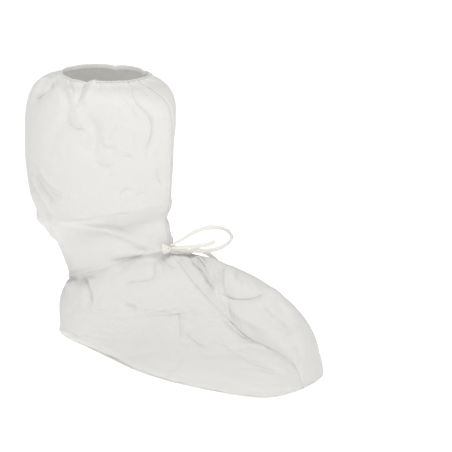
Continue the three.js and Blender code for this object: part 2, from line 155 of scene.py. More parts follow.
# y along the foot, then the sole's half widths on the outer and the inner side.
SOLE_EDGE = (
    (66, 0, 0), (58, 21, 22), (34, 33, 34), (0, 39.5, 40), (-42, 49, 46), (-88, 58.5, 53),
    (-130, 60.5, 59), (-178, 55, 63), (-218, 46, 66), (-244, 33, 60), (-254, 10, 38), (-257, -9, 9),
)  # fmt: skip
# How far the cloth's lower edge lies above the sole.
SEAM_GAP = 0.3
# Below 1, so that a section is highest nearer to its front seam than to its other end.
RISE_SKEW = 0.62

# Zones of the upper in row numbers of the section table: over which rows each comes in,
# and over which it goes out.
HEEL_ROWS = ((12.3, 13.6), (17.0, 19.5))
GROOVE_ROWS = ((11.0, 11.8), (14.5, 17.5))
CRUMPLE_ROWS = ((0.0, 1.0), (21.5, 23.0))
SWELL_ROWS = ((0.5, 2.5), (21.0, 22.5))
# The same for the middle of the heel's side, in shares of the way across a half.
HEEL_MIDDLE = ((0.25, 0.45), (0.74, 0.9))
# The rows from the leg to the foot, and the row where the cloth puffs out under the tie.
FOOT_ROWS = (11.0, 13.0)
UNDER_TIE_ROW = 11.05

# Seeds of everything random. The inner half's are a step above the outer half's.
SEEDS = {
    "facets": 41, "swells": 71, "roll": 61, "slack": 11, "bumps": 21, "gathers": 31, "hem": 5, "stitches": 3,
}  # fmt: skip
FACETS_STEP = 7


# ---- creases ----


@dataclass(frozen=True)
class Crease:
    """One crease or fold of the cloth, laid along a line of points on a panel.

    Attributes:
        name: its name.
        fold: how the cloth runs across it.
        height: how far it stands out, or in where it is below 0.
        width: over what distance it fades.
        points: its line, near the panel.
        open_start: True where it doesn't fade towards its first point.
        open_end: True where it doesn't fade towards its last point.
    """

    name: str
    fold: Fold
    height: float
    width: float
    points: tuple[Point, ...]
    open_start: bool = False
    open_end: bool = False

    def left_at(self, share: Array, fade: float = 0.3) -> Array:
        """How much of the crease is left at shares of its length.

        Args:
            share: shares from 0 at its first point to 1 at its last.
            fade: share of its length over which an end fades.

        Returns:
            Numbers from 0 to 1.
        """
        left = np.ones(len(share))
        if not self.open_start:
            left *= smoothstep(0, fade, share)
        if not self.open_end:
            left *= smoothstep(0, fade, 1 - share)
        return left

    def profile(self, near: Array, away: Array) -> Array:
        """The crease's height beside its line, as a share of its full height.

        Args:
            near: straight distances from the line.
            away: distances along the cloth, below 0 on one side.

        Returns:
            One share for each distance.
        """
        w = self.width
        if self.fold is Fold.ROLL:
            return bell(near, 0, w)
        if self.fold is Fold.CREASE:
            return 0.7 * np.exp(-near / (2.8 * w)) + 0.3 * np.exp(-near / (0.4 + 0.35 * w))
        if self.fold is Fold.LEDGE:
            return np.exp(-near / np.where(away > 0, 2.4 * w, 1.8 * w))
        return np.exp(-near / w) * np.tanh(away / 1.2)

    def sharpness(self) -> float:
        """How plain the crease's sharp line is, from 0 to 1."""
        by_height = min(1.0, 0.3 + abs(self.height) / 3)
        return {Fold.ROLL: 0.0, Fold.LEDGE: 0.8}.get(self.fold, by_height)


CREASE, ROLL, STEP, LEDGE = Fold

OUTER_CREASES = (
    Crease("dart under the hem", CREASE, -4.0, 2.8,
        ((-46, -15, 289), (-58, -19, 281), (-62, -16, 265)), True),
    Crease("roll before the dart", ROLL, 2.2, 5.0, ((-54, 6, 288), (-61, -11, 280), (-64, -9, 269)), True),
    Crease("roll behind the dart", ROLL, 2.1, 5.0, ((-42, -23, 288), (-56, -26, 279), (-60, -23, 269)), True),
    Crease("second dart", CREASE, -2.2, 2.2, ((-49, 4, 289), (-58, -9, 284), (-63, -12, 273)), True),
    Crease("crease under the rear roll", CREASE, -6.2, 2.8,
        ((-55, 59, 264), (-60, 35, 277), (-55, 30, 285), (-40, 36, 289))),
    Crease("roll on the rear shoulder", ROLL, 3.2, 5.2, ((-52, 60, 271), (-51, 49, 281), (-36, 47, 289))),
    Crease("hollow behind the shoulder", ROLL, -2.7, 6.2,
        ((-41, 32, 289), (-62, 2, 281), (-64, -8, 265), (-66, 0, 250), (-68, 12, 233), (-69, 24, 217))),
    Crease("dimple", CREASE, -2.9, 3.0, ((-66, 0, 253), (-63, -11, 246), (-56, -27, 243))),
    Crease("ridge over the dimple", ROLL, 2.2, 5.6, ((-65, -4, 258), (-62, -16, 256), (-58, -23, 249))),
    Crease("hollow before the dimple", ROLL, -3.8, 6.9,
        ((-58, -27, 265), (-55, -31, 252), (-52, -34, 239), (-53, -30, 225), (-57, -22, 209))),
    Crease("long crease near the front", STEP, -2.2, 2.6,
        ((-21, -58, 284), (-28, -70, 273), (-21, -79, 261), (-19, -81, 254), (-18, -81, 242),
         (-20, -76, 225), (-20, -76, 214))),
    Crease("long crease, its line", CREASE, -1.5, 1.1,
        ((-15, -50, 288), (-21, -58, 284), (-28, -70, 273), (-21, -79, 261), (-19, -81, 254),
         (-18, -81, 242), (-20, -76, 225), (-20, -76, 214), (-20, -76, 202)), True),
    Crease("faint crease near the front", CREASE, -1.2, 1.8,
        ((-33, -55, 282), (-34, -66, 270), (-27, -73, 254))),
    Crease("lower front crease", CREASE, -1.6, 1.6, ((-12, -84, 207), (-11, -83, 193), (-7, -86, 184))),
    Crease("crinkle a", CREASE, -1.7, 1.1, ((-51, -34, 232), (-44, -46, 225), (-39, -53, 228))),
    Crease("crinkle b", CREASE, -1.7, 1.1, ((-53, -30, 213), (-46, -41, 205), (-41, -49, 209))),
    Crease("crinkle c", CREASE, -1.5, 1.3, ((-36, -57, 217), (-30, -65, 217))),
    Crease("crinkle d", CREASE, -1.5, 1.3, ((-37, -52, 176), (-35, -56, 182), (-29, -63, 180))),
    Crease("crinkle e", CREASE, -1.5, 1.3, ((-28, -63, 174), (-19, -75, 181))),
    Crease("crinkle f", CREASE, -1.5, 1.3, ((-42, -54, 252), (-43, -50, 242), (-47, -42, 232))),
    Crease("rear ridge, inner", ROLL, 3.3, 2.3,
        ((-67, 40, 203), (-68, 28, 191), (-67, 16, 181), (-62, -8, 172))),
    Crease("rear ridge, outer", ROLL, 2.7, 2.3,
        ((-59, 58, 190), (-65, 42, 175), (-66, 28, 163), (-62, 13, 144))),
    Crease("hollow between the ridges", ROLL, -2.1, 3.5,
        ((-65, 47, 199), (-67, 35, 183), (-67, 22, 170), (-64, 5, 159))),
    Crease("slump lip", LEDGE, 6.8, 4.6,
        ((-63, 24, 140), (-63, 8, 144), (-58, -10, 149), (-53, -25, 151), (-39, -49, 157), (-25, -66, 161),
         (-7, -84, 163))),
    Crease("ridge to the knot", ROLL, 3.8, 2.6,
        ((-60, -4, 146), (-55, -15, 143), (-48, -28, 141), (-41, -38, 139), (-32, -53, 132),
         (-23, -67, 126), (-7, -83, 120)), False, True),
    Crease("fill under the tie, behind", ROLL, 3.0, 6.0, ((-12, 50, 56), (-30, 30, 61), (-40, 5, 71))),
    Crease("swell of the slump, behind", ROLL, 5.4, 9.0,
        ((-50, 55, 150), (-48, 49, 134), (-44, 45, 120), (-37, 40, 106))),
    Crease("swell above the tie, behind", ROLL, 4.5, 9.0, ((-62, 13, 146), (-58, 24, 132), (-50, 32, 116))),
    Crease("bright fold", ROLL, 2.2, 5.0,
        ((-42, -30, 112), (-37, -46, 120), (-28, -62, 124), (-15, -78, 122))),
    Crease("upper fan ridge", ROLL, 3.4, 2.4,
        ((-36, -32, 112), (-30, -53, 116), (-20, -70, 118), (-9, -82, 118)), False, True),
    Crease("upper fan valley", CREASE, -1.3, 1.5,
        ((-38, -22, 102), (-34, -43, 109), (-22, -67, 114), (-9, -82, 116)), False, True),
    Crease("roll over the tie", ROLL, 4.6, 4.2,
        ((-14, 43, 67), (-35, 4, 83), (-38, -26, 95), (-33, -45, 103), (-23, -67, 110),
         (-11, -81, 115)), True, True),
    Crease("lower fan crease", CREASE, -3.2, 1.8,
        ((-41, -44, 88), (-33, -54, 98), (-27, -64, 103), (-19, -74, 109), (-7, -84, 114)), False, True),
    Crease("gather below the knot", CREASE, -3.4, 2.4,
        ((-12, -87, 111), (-18, -83, 108), (-24, -86, 101), (-30, -88, 91), (-37, -73, 87), (-41, -62, 83),
         (-44, -58, 77), (-45, -55, 69)), True),
    Crease("dimple on the side", ROLL, -2.5, 2.6, ((-43, -66, 60), (-41, -73, 59)), True, True),
    Crease("crease along the side", LEDGE, 2.4, 4.0,
        ((-41, -73, 59), (-35, -94, 59), (-28, -113, 60), (-23, -128, 61))),
    Crease("pocket under the tie", CREASE, -2.6, 3.0, ((-32, 12, 75), (-39, -7, 80), (-44, -28, 82))),
    Crease("hollow over the heel", ROLL, -5.6, 5.0,
        ((-39, 2, 75), (-47, -10, 67), (-50, -14, 58), (-50, -18, 49)), True),
    Crease("pucker at the back", CREASE, -1.6, 2.0, ((-11, 49, 57), (-32, 19, 69), (-43, 2, 69))),
    Crease("pucker below the knot", CREASE, -1.9, 1.8,
        ((-12, -91, 110), (-14, -100, 106), (-11, -108, 103)), True),
    Crease("second pucker below the knot", CREASE, -1.7, 1.8,
        ((-12, -89, 110), (-19, -93, 103), (-21, -100, 98)), True),
    Crease("fold at the heel", CREASE, -1.1, 3.0, ((-37, 36, 13), (-40, 20, 10), (-44, 0, 8))),
    Crease("hollow beside the seam", CREASE, -2.5, 2.6,
        ((-11, -159, 66), (-12, -178, 53), (-9, -202, 44), (-5, -221, 39))),
    Crease("press crease", CREASE, -1.8, 1.5, ((-24, -120, 63), (-31, -127, 48), (-40, -135, 38))),
    Crease("press crease, lower", CREASE, -1.8, 1.5, ((-33, -131, 46), (-36, -149, 40), (-37, -171, 35))),
    Crease("side crease, front", LEDGE, 2.0, 4.0, ((-31, -106, 57), (-24, -128, 59), (-14, -158, 62))),
    Crease("faint crease to the toe", CREASE, -1.1, 2.0,
        ((-26, -159, 46), (-27, -189, 38), (-25, -223, 28), (-8, -247, 19))),
    Crease("lower side swell", ROLL, 1.4, 5.0,
        ((-48, 6, 19), (-48, -33, 11), (-56, -75, 6), (-61, -120, 4), (-57, -167, 2), (-47, -214, 4),
         (-30, -244, 6))),
    Crease("back pleat", CREASE, -1.5, 3.0, ((-30, 92, 240), (-34, 84, 205))),
)  # fmt: skip
INNER_CREASES = (
    Crease("deep crease down the instep", CREASE, -6.6, 4.0,
        ((7, -115, 107), (1, -125, 103), (-6, -142, 90), (-6, -155, 84)), True),
    Crease("roll beside the seam", ROLL, 3.2, 5.0,
        ((-7, -168, 77), (-5, -190, 66), (-4, -204, 61), (0, -222, 53))),
    Crease("valley under the puff", CREASE, -5.2, 3.8,
        ((-6, -155, 84), (-5, -180, 81), (4, -200, 86), (17, -206, 94))),
    Crease("edge of the puff", ROLL, -4.2, 5.0,
        ((5, -205, 86), (2, -213, 73), (6, -229, 62), (12, -241, 50))),
    Crease("streak at the toe", ROLL, 2.2, 3.8, ((24, -245, 58), (12, -242, 54), (4, -231, 50))),
    Crease("hollow at the toe", ROLL, -2.0, 7.5, ((9, -245, 43), (15, -251, 28))),
    Crease("bulge over the instep", ROLL, 3.0, 12.0, ((2, -158, 100), (10, -172, 101))),
    Crease("hollow behind the toes", ROLL, -2.6, 8.8, ((25, -176, 97), (13, -216, 83), (20, -245, 58))),
    Crease("slump lip, inner", LEDGE, 4.0, 5.0, ((1, -87, 162), (7, -84, 162), (42, -42, 154), (58, 0, 146))),
    Crease("pleat above the tie", CREASE, -1.5, 3.0, ((12, -82, 140), (18, -77, 124)), False, True),
    Crease("second pleat above the tie", CREASE, -2.2, 3.0, ((27, -66, 142), (30, -62, 122)), False, True),
    Crease("third pleat above the tie", CREASE, -1.9, 3.0, ((40, -30, 134), (36, -36, 108)), False, True),
    Crease("pleat under the hem, inner", CREASE, -2.5, 3.2, ((42, -16, 289), (58, -14, 264)), True),
    Crease("second pleat under the hem", CREASE, -2.2, 3.2, ((40, 24, 289), (57, 30, 266)), True),
    Crease("long diagonal", ROLL, 1.0, 6.0, ((60, 40, 240), (58, -6, 205), (44, -44, 180))),
    Crease("roll over the tie, inner", ROLL, 4.4, 4.2,
        ((8, -81, 118), (24, -67, 113), (36, -40, 104), (36, 0, 86), (14, 43, 67)), False, True),
    Crease("pocket under the tie, inner", CREASE, -1.6, 4.0, ((44, -30, 92), (41, -6, 82), (32, 14, 74))),
    Crease("gather below the knot, inner", CREASE, -2.5, 3.0,
        ((16, -92, 118), (30, -86, 112), (40, -72, 100)), True),
    Crease("hollow over the heel, inner", ROLL, -1.4, 6.0, ((40, 2, 74), (46, -8, 50)), True),
    Crease("crease along the inner side", LEDGE, 0.7, 6.0, ((50, -60, 66), (52, -110, 70), (50, -150, 72))),
    Crease("press crease, inner", CREASE, -0.7, 1.8, ((56, -120, 60), (60, -150, 36))),
)  # fmt: skip


# ---- curves and small array tools ----


class SmoothCurve:
    """A centripetal Catmull-Rom curve through rows of numbers."""

    # Samples for its length, and the knot distance below which two points count as one.
    SAMPLES = 1201
    SAME_POINT = 1e-4

    def __init__(self, points: Sequence[Sequence[float]]) -> None:
        """Keeps the points.

        Args:
            points: the rows of numbers that the curve passes through.
        """
        self.points = np.asarray(points, dtype=float)
        self._share: Array | None = None
        self._even: Array | None = None

    @staticmethod
    def _knot(a: Array, b: Array) -> Array:
        """The knot distance between pairs of points."""
        return ((a - b) ** 2).sum(-1, keepdims=True) ** 0.25

    def at(self, row: Array | float) -> Array:
        """The curve at row numbers, 0 at its first point.

        Args:
            row: row numbers, whole ones at the points.

        Returns:
            One row of numbers for each row number.
        """
        last = len(self.points) - 1
        row = np.clip(np.asarray(row, dtype=float), 0, last)
        start = np.minimum(row.astype(int), last - 1)
        w = (row - start)[..., None]
        p = self.points
        p = np.vstack([2 * p[0] - p[1], p, 2 * p[-1] - p[-2]])
        p0, p1, p2, p3 = p[start], p[start + 1], p[start + 2], p[start + 3]
        d0, d1, d2 = self._knot(p0, p1), self._knot(p1, p2), self._knot(p2, p3)
        d1 = np.where(d1 < self.SAME_POINT, 1.0, d1)
        d0 = np.where(d0 < self.SAME_POINT, d1, d0)
        d2 = np.where(d2 < self.SAME_POINT, d1, d2)
        m1 = ((p1 - p0) / d0 - (p2 - p0) / (d0 + d1) + (p2 - p1) / d1) * d1
        m2 = ((p2 - p1) / d1 - (p3 - p1) / (d1 + d2) + (p3 - p2) / d2) * d1
        square = -3 * p1 + 3 * p2 - 2 * m1 - m2
        cube = 2 * p1 - 2 * p2 + m1 + m2
        return p1 + m1 * w + square * w**2 + cube * w**3

    def along(self, share: Array) -> Array:
        """The curve at shares of its length.

        Args:
            share: shares from 0 to 1.

        Returns:
            One row of numbers for each share.
        """
        if self._share is None or self._even is None:
            rows = np.linspace(0, len(self.points) - 1, self.SAMPLES)
            self._even = self.at(rows)
            steps = lengths(np.diff(self._even, axis=0))
            self._share = np.concatenate([[0], np.cumsum(steps)]) / steps.sum()
        share = np.clip(share, 0, 1)
        columns = [np.interp(share, self._share, self._even[:, k]) for k in range(self._even.shape[1])]
        return np.stack(columns, axis=-1)


def smoothstep(low: float, high: float, value: Array) -> Array:
    """0 below low, 1 above high and smooth between them."""
    x = np.clip((value - low) / (high - low), 0, 1)
    return x * x * (3 - 2 * x)


def plateau(value: Array, slopes: Slopes, height: float = 1.0) -> Array:
    """0, up to the height over the first of two slopes, and down to 0 over the second."""
    rise, fall = slopes
    return height * smoothstep(*rise, value) * (1 - smoothstep(*fall, value))


def bell(value: Array, middle: float, reach: Any, power: float = 2) -> Array:
    """1 at the middle, fading over the reach on both sides."""
    return np.exp(-(((value - middle) / reach) ** power))


def soft_noise(shape: Sequence[int], cells: tuple[int, int], seed: int) -> Array:
    """Smooth random bumps on a grid, about -1 to 1.

    Args:
        shape: rows and columns of the grid.
        cells: number of bumps along the rows and the columns.
        seed: the seed of the random numbers.

    Returns:
        An array of that shape.
    """
    rng = np.random.default_rng(seed)
    knots = rng.uniform(-1, 1, (cells[0] + 4, cells[1] + 4))

    def spread(values: Array, count: int, cell: int) -> Array:
        """Cubic steps from the knots, along the first axis.

        Args:
            values: the knots' values.
            count: how many values to make.
            cell: over how many knots they spread.

        Returns:
            count rows of values.
        """
        x = np.linspace(0, cell - 1e-6, count)
        k = x.astype(int)
        w = (x - k)[:, None]
        a, b, c, d = values[k], values[k + 1], values[k + 2], values[k + 3]
        return (
            (-a + 3 * b - 3 * c + d) * w**3 / 6
            + (a - 2 * b + c) * w**2 / 2
            + (c - a) * w / 2
            + (a + 4 * b + c) / 6
        )

    evened_out = 1.6
    rows = spread(knots, shape[0], cells[0])
    return evened_out * spread(rows.T, shape[1], cells[1]).T


def crumple(shape: Sequence[int], seed: int) -> Array:
    """Flat facets that meet in sharp valleys, as in paper, from about -0.6 to 0.3."""
    large, small = np.abs(soft_noise(shape, (13, 5), seed)), np.abs(soft_noise(shape, (29, 11), seed + 1))
    return np.minimum(large, 0.5) + 0.55 * np.minimum(small, 0.4) - 0.5


def lengths(vectors: Array) -> Array:
    """How long vectors are, over the last axis."""
    return np.linalg.norm(vectors, axis=-1)


def unit(vectors: Array) -> Array:
    """Vectors at length 1."""
    return vectors / np.maximum(np.linalg.norm(vectors, axis=-1, keepdims=True), 1e-9)


def travelled(line: Array) -> Array:
    """How far along a line of points each of them lies."""
    return np.concatenate([[0], np.cumsum(lengths(np.diff(line, axis=0)))])


def closed_line(halves: Array) -> Array:
    """One closed line from the same row of both halves, joined at front and back."""
    return np.concatenate([halves[0][:-1], halves[1][:0:-1]])


def resampled(ring: Array, count: int) -> tuple[Array, Array, float]:
    """A closed line at evenly spaced points.

    Args:
        ring: the line's points, without the first one again at the end.
        count: how many points to make.

    Returns:
        The points, how far along the line each lies, and the line's length.
    """
    closed = np.vstack([ring, ring[:1]])
    total = travelled(closed)
    want = np.linspace(0, total[-1], count, endpoint=False)
    return np.stack([np.interp(want, total, closed[:, k]) for k in range(3)], 1), want, total[-1]


def evened(ring: Array, rounds: int) -> Array:
    """A closed line, smoothed.

    Args:
        ring: its points.
        rounds: how many times each point moves towards its neighbours.

    Returns:
        The smoothed points.
    """
    for _ in range(rounds):
        ring = (np.roll(ring, 1, axis=0) + 2 * ring + np.roll(ring, -1, axis=0)) / 4
    return ring


def ring_tangent(ring: Array, reach: int = 1) -> Array:
    """Unit directions along a closed line, across reach points on each side."""
    return unit(np.roll(ring, -reach, axis=0) - np.roll(ring, reach, axis=0))


def facing_out(directions: Array, ring: Array) -> Array:
    """Directions at a closed line's points, turned to point away from its middle."""
    return directions * np.sign(((ring - ring.mean(0)) * directions).sum(1))[:, None]


def around(count: int) -> Array:
    """Angles evenly round a circle."""
    return np.linspace(0, 2 * np.pi, count, endpoint=False)


def rounded_box(angle: Array, power: float) -> tuple[Array, Array]:
    """Corner places of a rounded box's outline, from -1 to 1, squarer for a smaller power."""
    across, up = np.cos(angle), np.sin(angle)
    return np.sign(across) * np.abs(across) ** power, np.sign(up) * np.abs(up) ** power


# ---- meshes ----


def link_mesh(name: str, mesh: Mesh) -> Object:
    """A mesh as an object in the scene.

    Args:
        name: the object's name.
        mesh: its mesh.

    Returns:
        The object, at the origin.
    """
    obj = bpy.data.objects.new(name, mesh)
    bpy.context.collection.objects.link(obj)
    return obj


def new_object(name: str, verts: Array, faces: Sequence[Sequence[int]]) -> Object:
    """A smooth mesh object.

    Args:
        name: its name.
        verts: its corners in millimetres.
        faces: lists of corner numbers.

    Returns:
        The object, linked into the scene.
    """
    mesh = bpy.data.meshes.new(name)
    mesh.from_pydata((verts * MM).tolist(), [], [list(face) for face in faces])
    mesh.update()
    mesh.polygons.foreach_set("use_smooth", [True] * len(mesh.polygons))
    return link_mesh(name, mesh)


def set_uv(obj: Object, uv: Array) -> None:
    """Gives an object a UV map.

    Args:
        obj: the object.
        uv: one pair of millimetre values for each corner point.
    """
    mesh = obj.data
    layer = mesh.uv_layers.new(name="cloth")
    index = np.empty(len(mesh.loops), dtype=np.int64)
    mesh.loops.foreach_get("vertex_index", index)
    layer.data.foreach_set("uv", (np.asarray(uv)[index] * MM).astype(np.float32).ravel())


def set_values(obj: Object, name: str, values: Array) -> None:
    """Gives an object a named number at each corner point."""
    layer = obj.data.attributes.new(name, "FLOAT", "POINT")
    layer.data.foreach_set("value", values.astype(np.float32).ravel())


def put_on(obj: Object, material: Material, nodes: Sequence[str] = ()) -> None:
    """Finishes a piece.

    Args:
        obj: the piece.
        material: its material.
        nodes: the CAD nodes that it stands for.
    """
    obj.data.materials.clear()
    obj.data.materials.append(material)
    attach(obj, BODY)
    if nodes:
        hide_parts(*nodes)


def sheet_mesh(name: str, face: Array, inward: Array, wall: float, uv: Array, flip: bool) -> Object:
    """A closed wall of cloth from a grid of points.

    Args:
        name: the object's name.
        face: the outer face, rows by columns by 3, in millimetres.
        inward: unit directions into the wall.
        wall: the wall's thickness.
        uv: rows by columns by 2, in millimetres.
        flip: whether to turn every face over.

    Returns:
        The object, with its UV map.
    """
    rows, columns = face.shape[:2]
    lining = face + inward * wall
    verts = np.concatenate([face.reshape(-1, 3), lining.reshape(-1, 3)])
    index = np.arange(rows * columns).reshape(rows, columns)
    a, b = index[:-1, :-1].ravel(), index[1:, :-1].ravel()
    c, d = index[1:, 1:].ravel(), index[:-1, 1:].ravel()
    under = rows * columns
    quads = [np.stack([a, b, c, d], 1), np.stack([a, d, c, b], 1) + under]
    rims = (
        (index[0, :-1], index[0, 1:]),
        (index[:-1, -1], index[1:, -1]),
        (index[-1, 1:], index[-1, :-1]),
        (index[1:, 0], index[:-1, 0]),
    )
    for p, q in rims:
        quads.append(np.stack([p, q, q + under, p + under], 1))
    faces = np.concatenate(quads)
    if flip:
        faces = faces[:, ::-1]
    obj = new_object(name, verts, faces)
    set_uv(obj, np.concatenate([uv.reshape(-1, 2)] * 2))
    return obj


def close_up(obj: Object, reach: float = 0.00002) -> None:
    """Merges the corners of a piece that meet and points its faces outwards.

    Args:
        obj: the piece.
        reach: how near corners merge, in metres.
    """
    mesh = bmesh.new()
    mesh.from_mesh(obj.data)
    bmesh.ops.remove_doubles(mesh, verts=mesh.verts, dist=reach)
    bmesh.ops.dissolve_degenerate(mesh, edges=mesh.edges, dist=1e-7)
    bmesh.ops.recalc_face_normals(mesh, faces=mesh.faces)
    mesh.to_mesh(obj.data)
    mesh.free()
    obj.data.update()


def ring_mesh(name: str, loops: Array, uv: Array | None = None, capped: bool = False) -> Object:
    """A tube from closed sections.

    Args:
        name: the object's name.
        loops: sections by points by 3, in millimetres.
        uv: sections by points by 2, in millimetres, or None for no UV map.
        capped: True to cap both ends, False to join the last section to the first.

    Returns:
        The object.
    """
    count, points = loops.shape[:2]
    index = np.arange(count * points).reshape(count, points)
    following = np.roll(index, -1, axis=0)
    if capped:
        index, following = index[:-1], following[:-1]
    a, b = index, np.roll(index, -1, axis=1)
    c, d = np.roll(following, -1, axis=1), following
    faces: list[Any] = np.stack([a.ravel(), b.ravel(), c.ravel(), d.ravel()], 1).tolist()
    if capped:
        first = list(range(points))
        faces += [first[::-1], [(count - 1) * points + k for k in first]]
    obj = new_object(name, loops.reshape(-1, 3), faces)
    if uv is not None:
        set_uv(obj, uv.reshape(-1, 2))
    close_up(obj, 1e-6)
    return obj


# ---- the cloth's own settling ----


@dataclass
class Drape:
    """Lets a grid of cloth that is larger than its form settle into small folds.

    The cloth keeps its cut lengths, resists bending, and stays near the form that it is given.

    Attributes:
        rounds: how many times every thread is pulled to its length.
        squeeze: how strongly threads resist being pushed together.
        stretch: how strongly they resist being pulled apart.
        skew: the same two for the diagonals.
        bend: how strongly the cloth resists a fold.
    """

    rounds: int = 160
    squeeze: float = 0.5
    stretch: float = 1.0
    skew: Pair = (0.15, 0.3)
    bend: float = 0.12

    @staticmethod
    def _thread(p: Array, q: Array, rest: Array, loose: float, tight: float) -> None:
        """Moves the two ends of many threads towards their length, in place.

        Args:
            p: their first ends.
            q: their second ends.
            rest: their lengths.
            loose: how strongly a thread resists being too short.
            tight: how strongly it resists being too long.
        """
        gap = q - p
        length = np.sqrt((gap * gap).sum(-1))
        error = (length - rest) / np.maximum(length, 1e-6)
        error *= np.where(error < 0, loose, tight) * 0.5
        gap *= error[..., None]
        p += gap
        q -= gap

    def settle(
        self,
        form: Array,
        start: Array,
        ease: Array,
        hold: Array,
        pull: Array,
        limit: Callable[[Array], Array],
        tie: Callable[[Array], None],
    ) -> Array:
        """Settles the cloth.

        Args:
            form: sides by rows by columns by 3, the form it is held near.
            start: the same, where it starts.
            ease: sides by rows by columns by 2, cut length over the form's length, across and along.
            hold: sides by rows by columns, 0 where the cloth can't move and 1 where it is free.
            pull: for each row, the share of the way back to the form in each round.
            limit: keeps points near the form.
            tie: joins the halves at their seams, in place.

        Returns:
            The settled points.
        """
        across = np.diff(form, axis=2)
        along = np.diff(form, axis=1)
        wide = (ease[:, :, 1:, 0] + ease[:, :, :-1, 0]) / 2
        tall = (ease[:, 1:, :, 1] + ease[:, :-1, :, 1]) / 2
        rest_x = lengths(across) * wide
        rest_y = lengths(along) * tall
        ax, ay = across * wide[..., None], along * tall[..., None]
        bend_x = lengths(form[:, :, 2:] - form[:, :, :-2]) * wide[:, :, 1:]
        bend_y = lengths(form[:, 2:] - form[:, :-2]) * tall[:, 1:]
        rest_d = lengths(ax[:, :-1] + ay[:, :, 1:])
        rest_e = lengths(ax[:, 1:] - ay[:, :, 1:])
        straight = self.squeeze, self.stretch
        p = start.copy()
        for _ in range(self.rounds):
            before = p.copy()
            for k in (0, 1):
                self._thread(p[:, :, k:-1:2], p[:, :, k + 1 :: 2], rest_x[:, :, k::2], *straight)
                self._thread(p[:, k:-1:2], p[:, k + 1 :: 2], rest_y[:, k::2], *straight)
                self._thread(p[:, k:-1:2, :-1], p[:, k + 1 :: 2, 1:], rest_d[:, k::2], *self.skew)
                self._thread(p[:, k + 1 :: 2, :-1], p[:, k:-1:2, 1:], rest_e[:, k::2], *self.skew)
            for k in range(4):
                self._thread(p[:, :, k:-2:4], p[:, :, k + 2 :: 4], bend_x[:, :, k::4], self.bend, 0.0)
                self._thread(p[:, k:-2:4], p[:, k + 2 :: 4], bend_y[:, k::4], self.bend, 0.0)
            p += (form - p) * pull[None, :, None, None]
            p = before + (p - before) * hold[..., None]
            tie(p)
            p = limit(p)
        return p


# ---- the upper ----


class Form:
    """The smooth form of the upper, before creases, in millimetres."""

    def __init__(self) -> None:
        """Lays the curves through the section table."""
        self.front = SmoothCurve([s.front for s in SECTIONS])
        heel_end = (0, SOLE_EDGE[0][0], SEAM_GAP)
        self.back = SmoothCurve([(0, *s.back) if s.back else heel_end for s in SECTIONS[: HEEL + 1]])
        self.width = SmoothCurve([(*s.width, s.peak) for s in SECTIONS])
        self.rise = SmoothCurve([(*s.rise, s.power) for s in SECTIONS])
        self.share = SmoothCurve([(s.edge, 0, 0) for s in SECTIONS[HEEL:]])
        self.sole = {
            side: SmoothCurve([(side.value * row[1 + side.half], row[0], SEAM_GAP) for row in SOLE_EDGE])
            for side in Side
        }

    def point(self, side: Side, s: Array, t: Array) -> Array:
        """Points of one half.

        Args:
            side: the half.
            s: row numbers of the section table.
            t: shares of the way from the front seam to the back seam or the sole.

        Returns:
            One point for each pair.
        """
        s, t = np.broadcast_arrays(np.asarray(s, float), np.asarray(t, float))
        widths, rises = self.width.at(s), self.rise.at(s)
        on_seam = self.back.at(np.minimum(s, HEEL))
        on_sole = self.sole[side].along(np.clip(self.share.at(np.maximum(s - HEEL, 0))[..., 0], 0, 1))
        back = np.where((s <= HEEL)[..., None], on_seam, on_sole)
        front = self.front.at(s)
        point = front + (back - front) * t[..., None]
        warped = np.power(t, math.log(0.5) / np.log(widths[..., 2]))
        sideways = np.power(np.clip(np.sin(np.pi * warped), 0, 1), rises[..., 2])
        point[..., 0] += side.value * widths[..., side.half] * sideways
        point[..., 2] += rises[..., side.half] * np.sin(np.pi * np.power(t, RISE_SKEW))
        return point


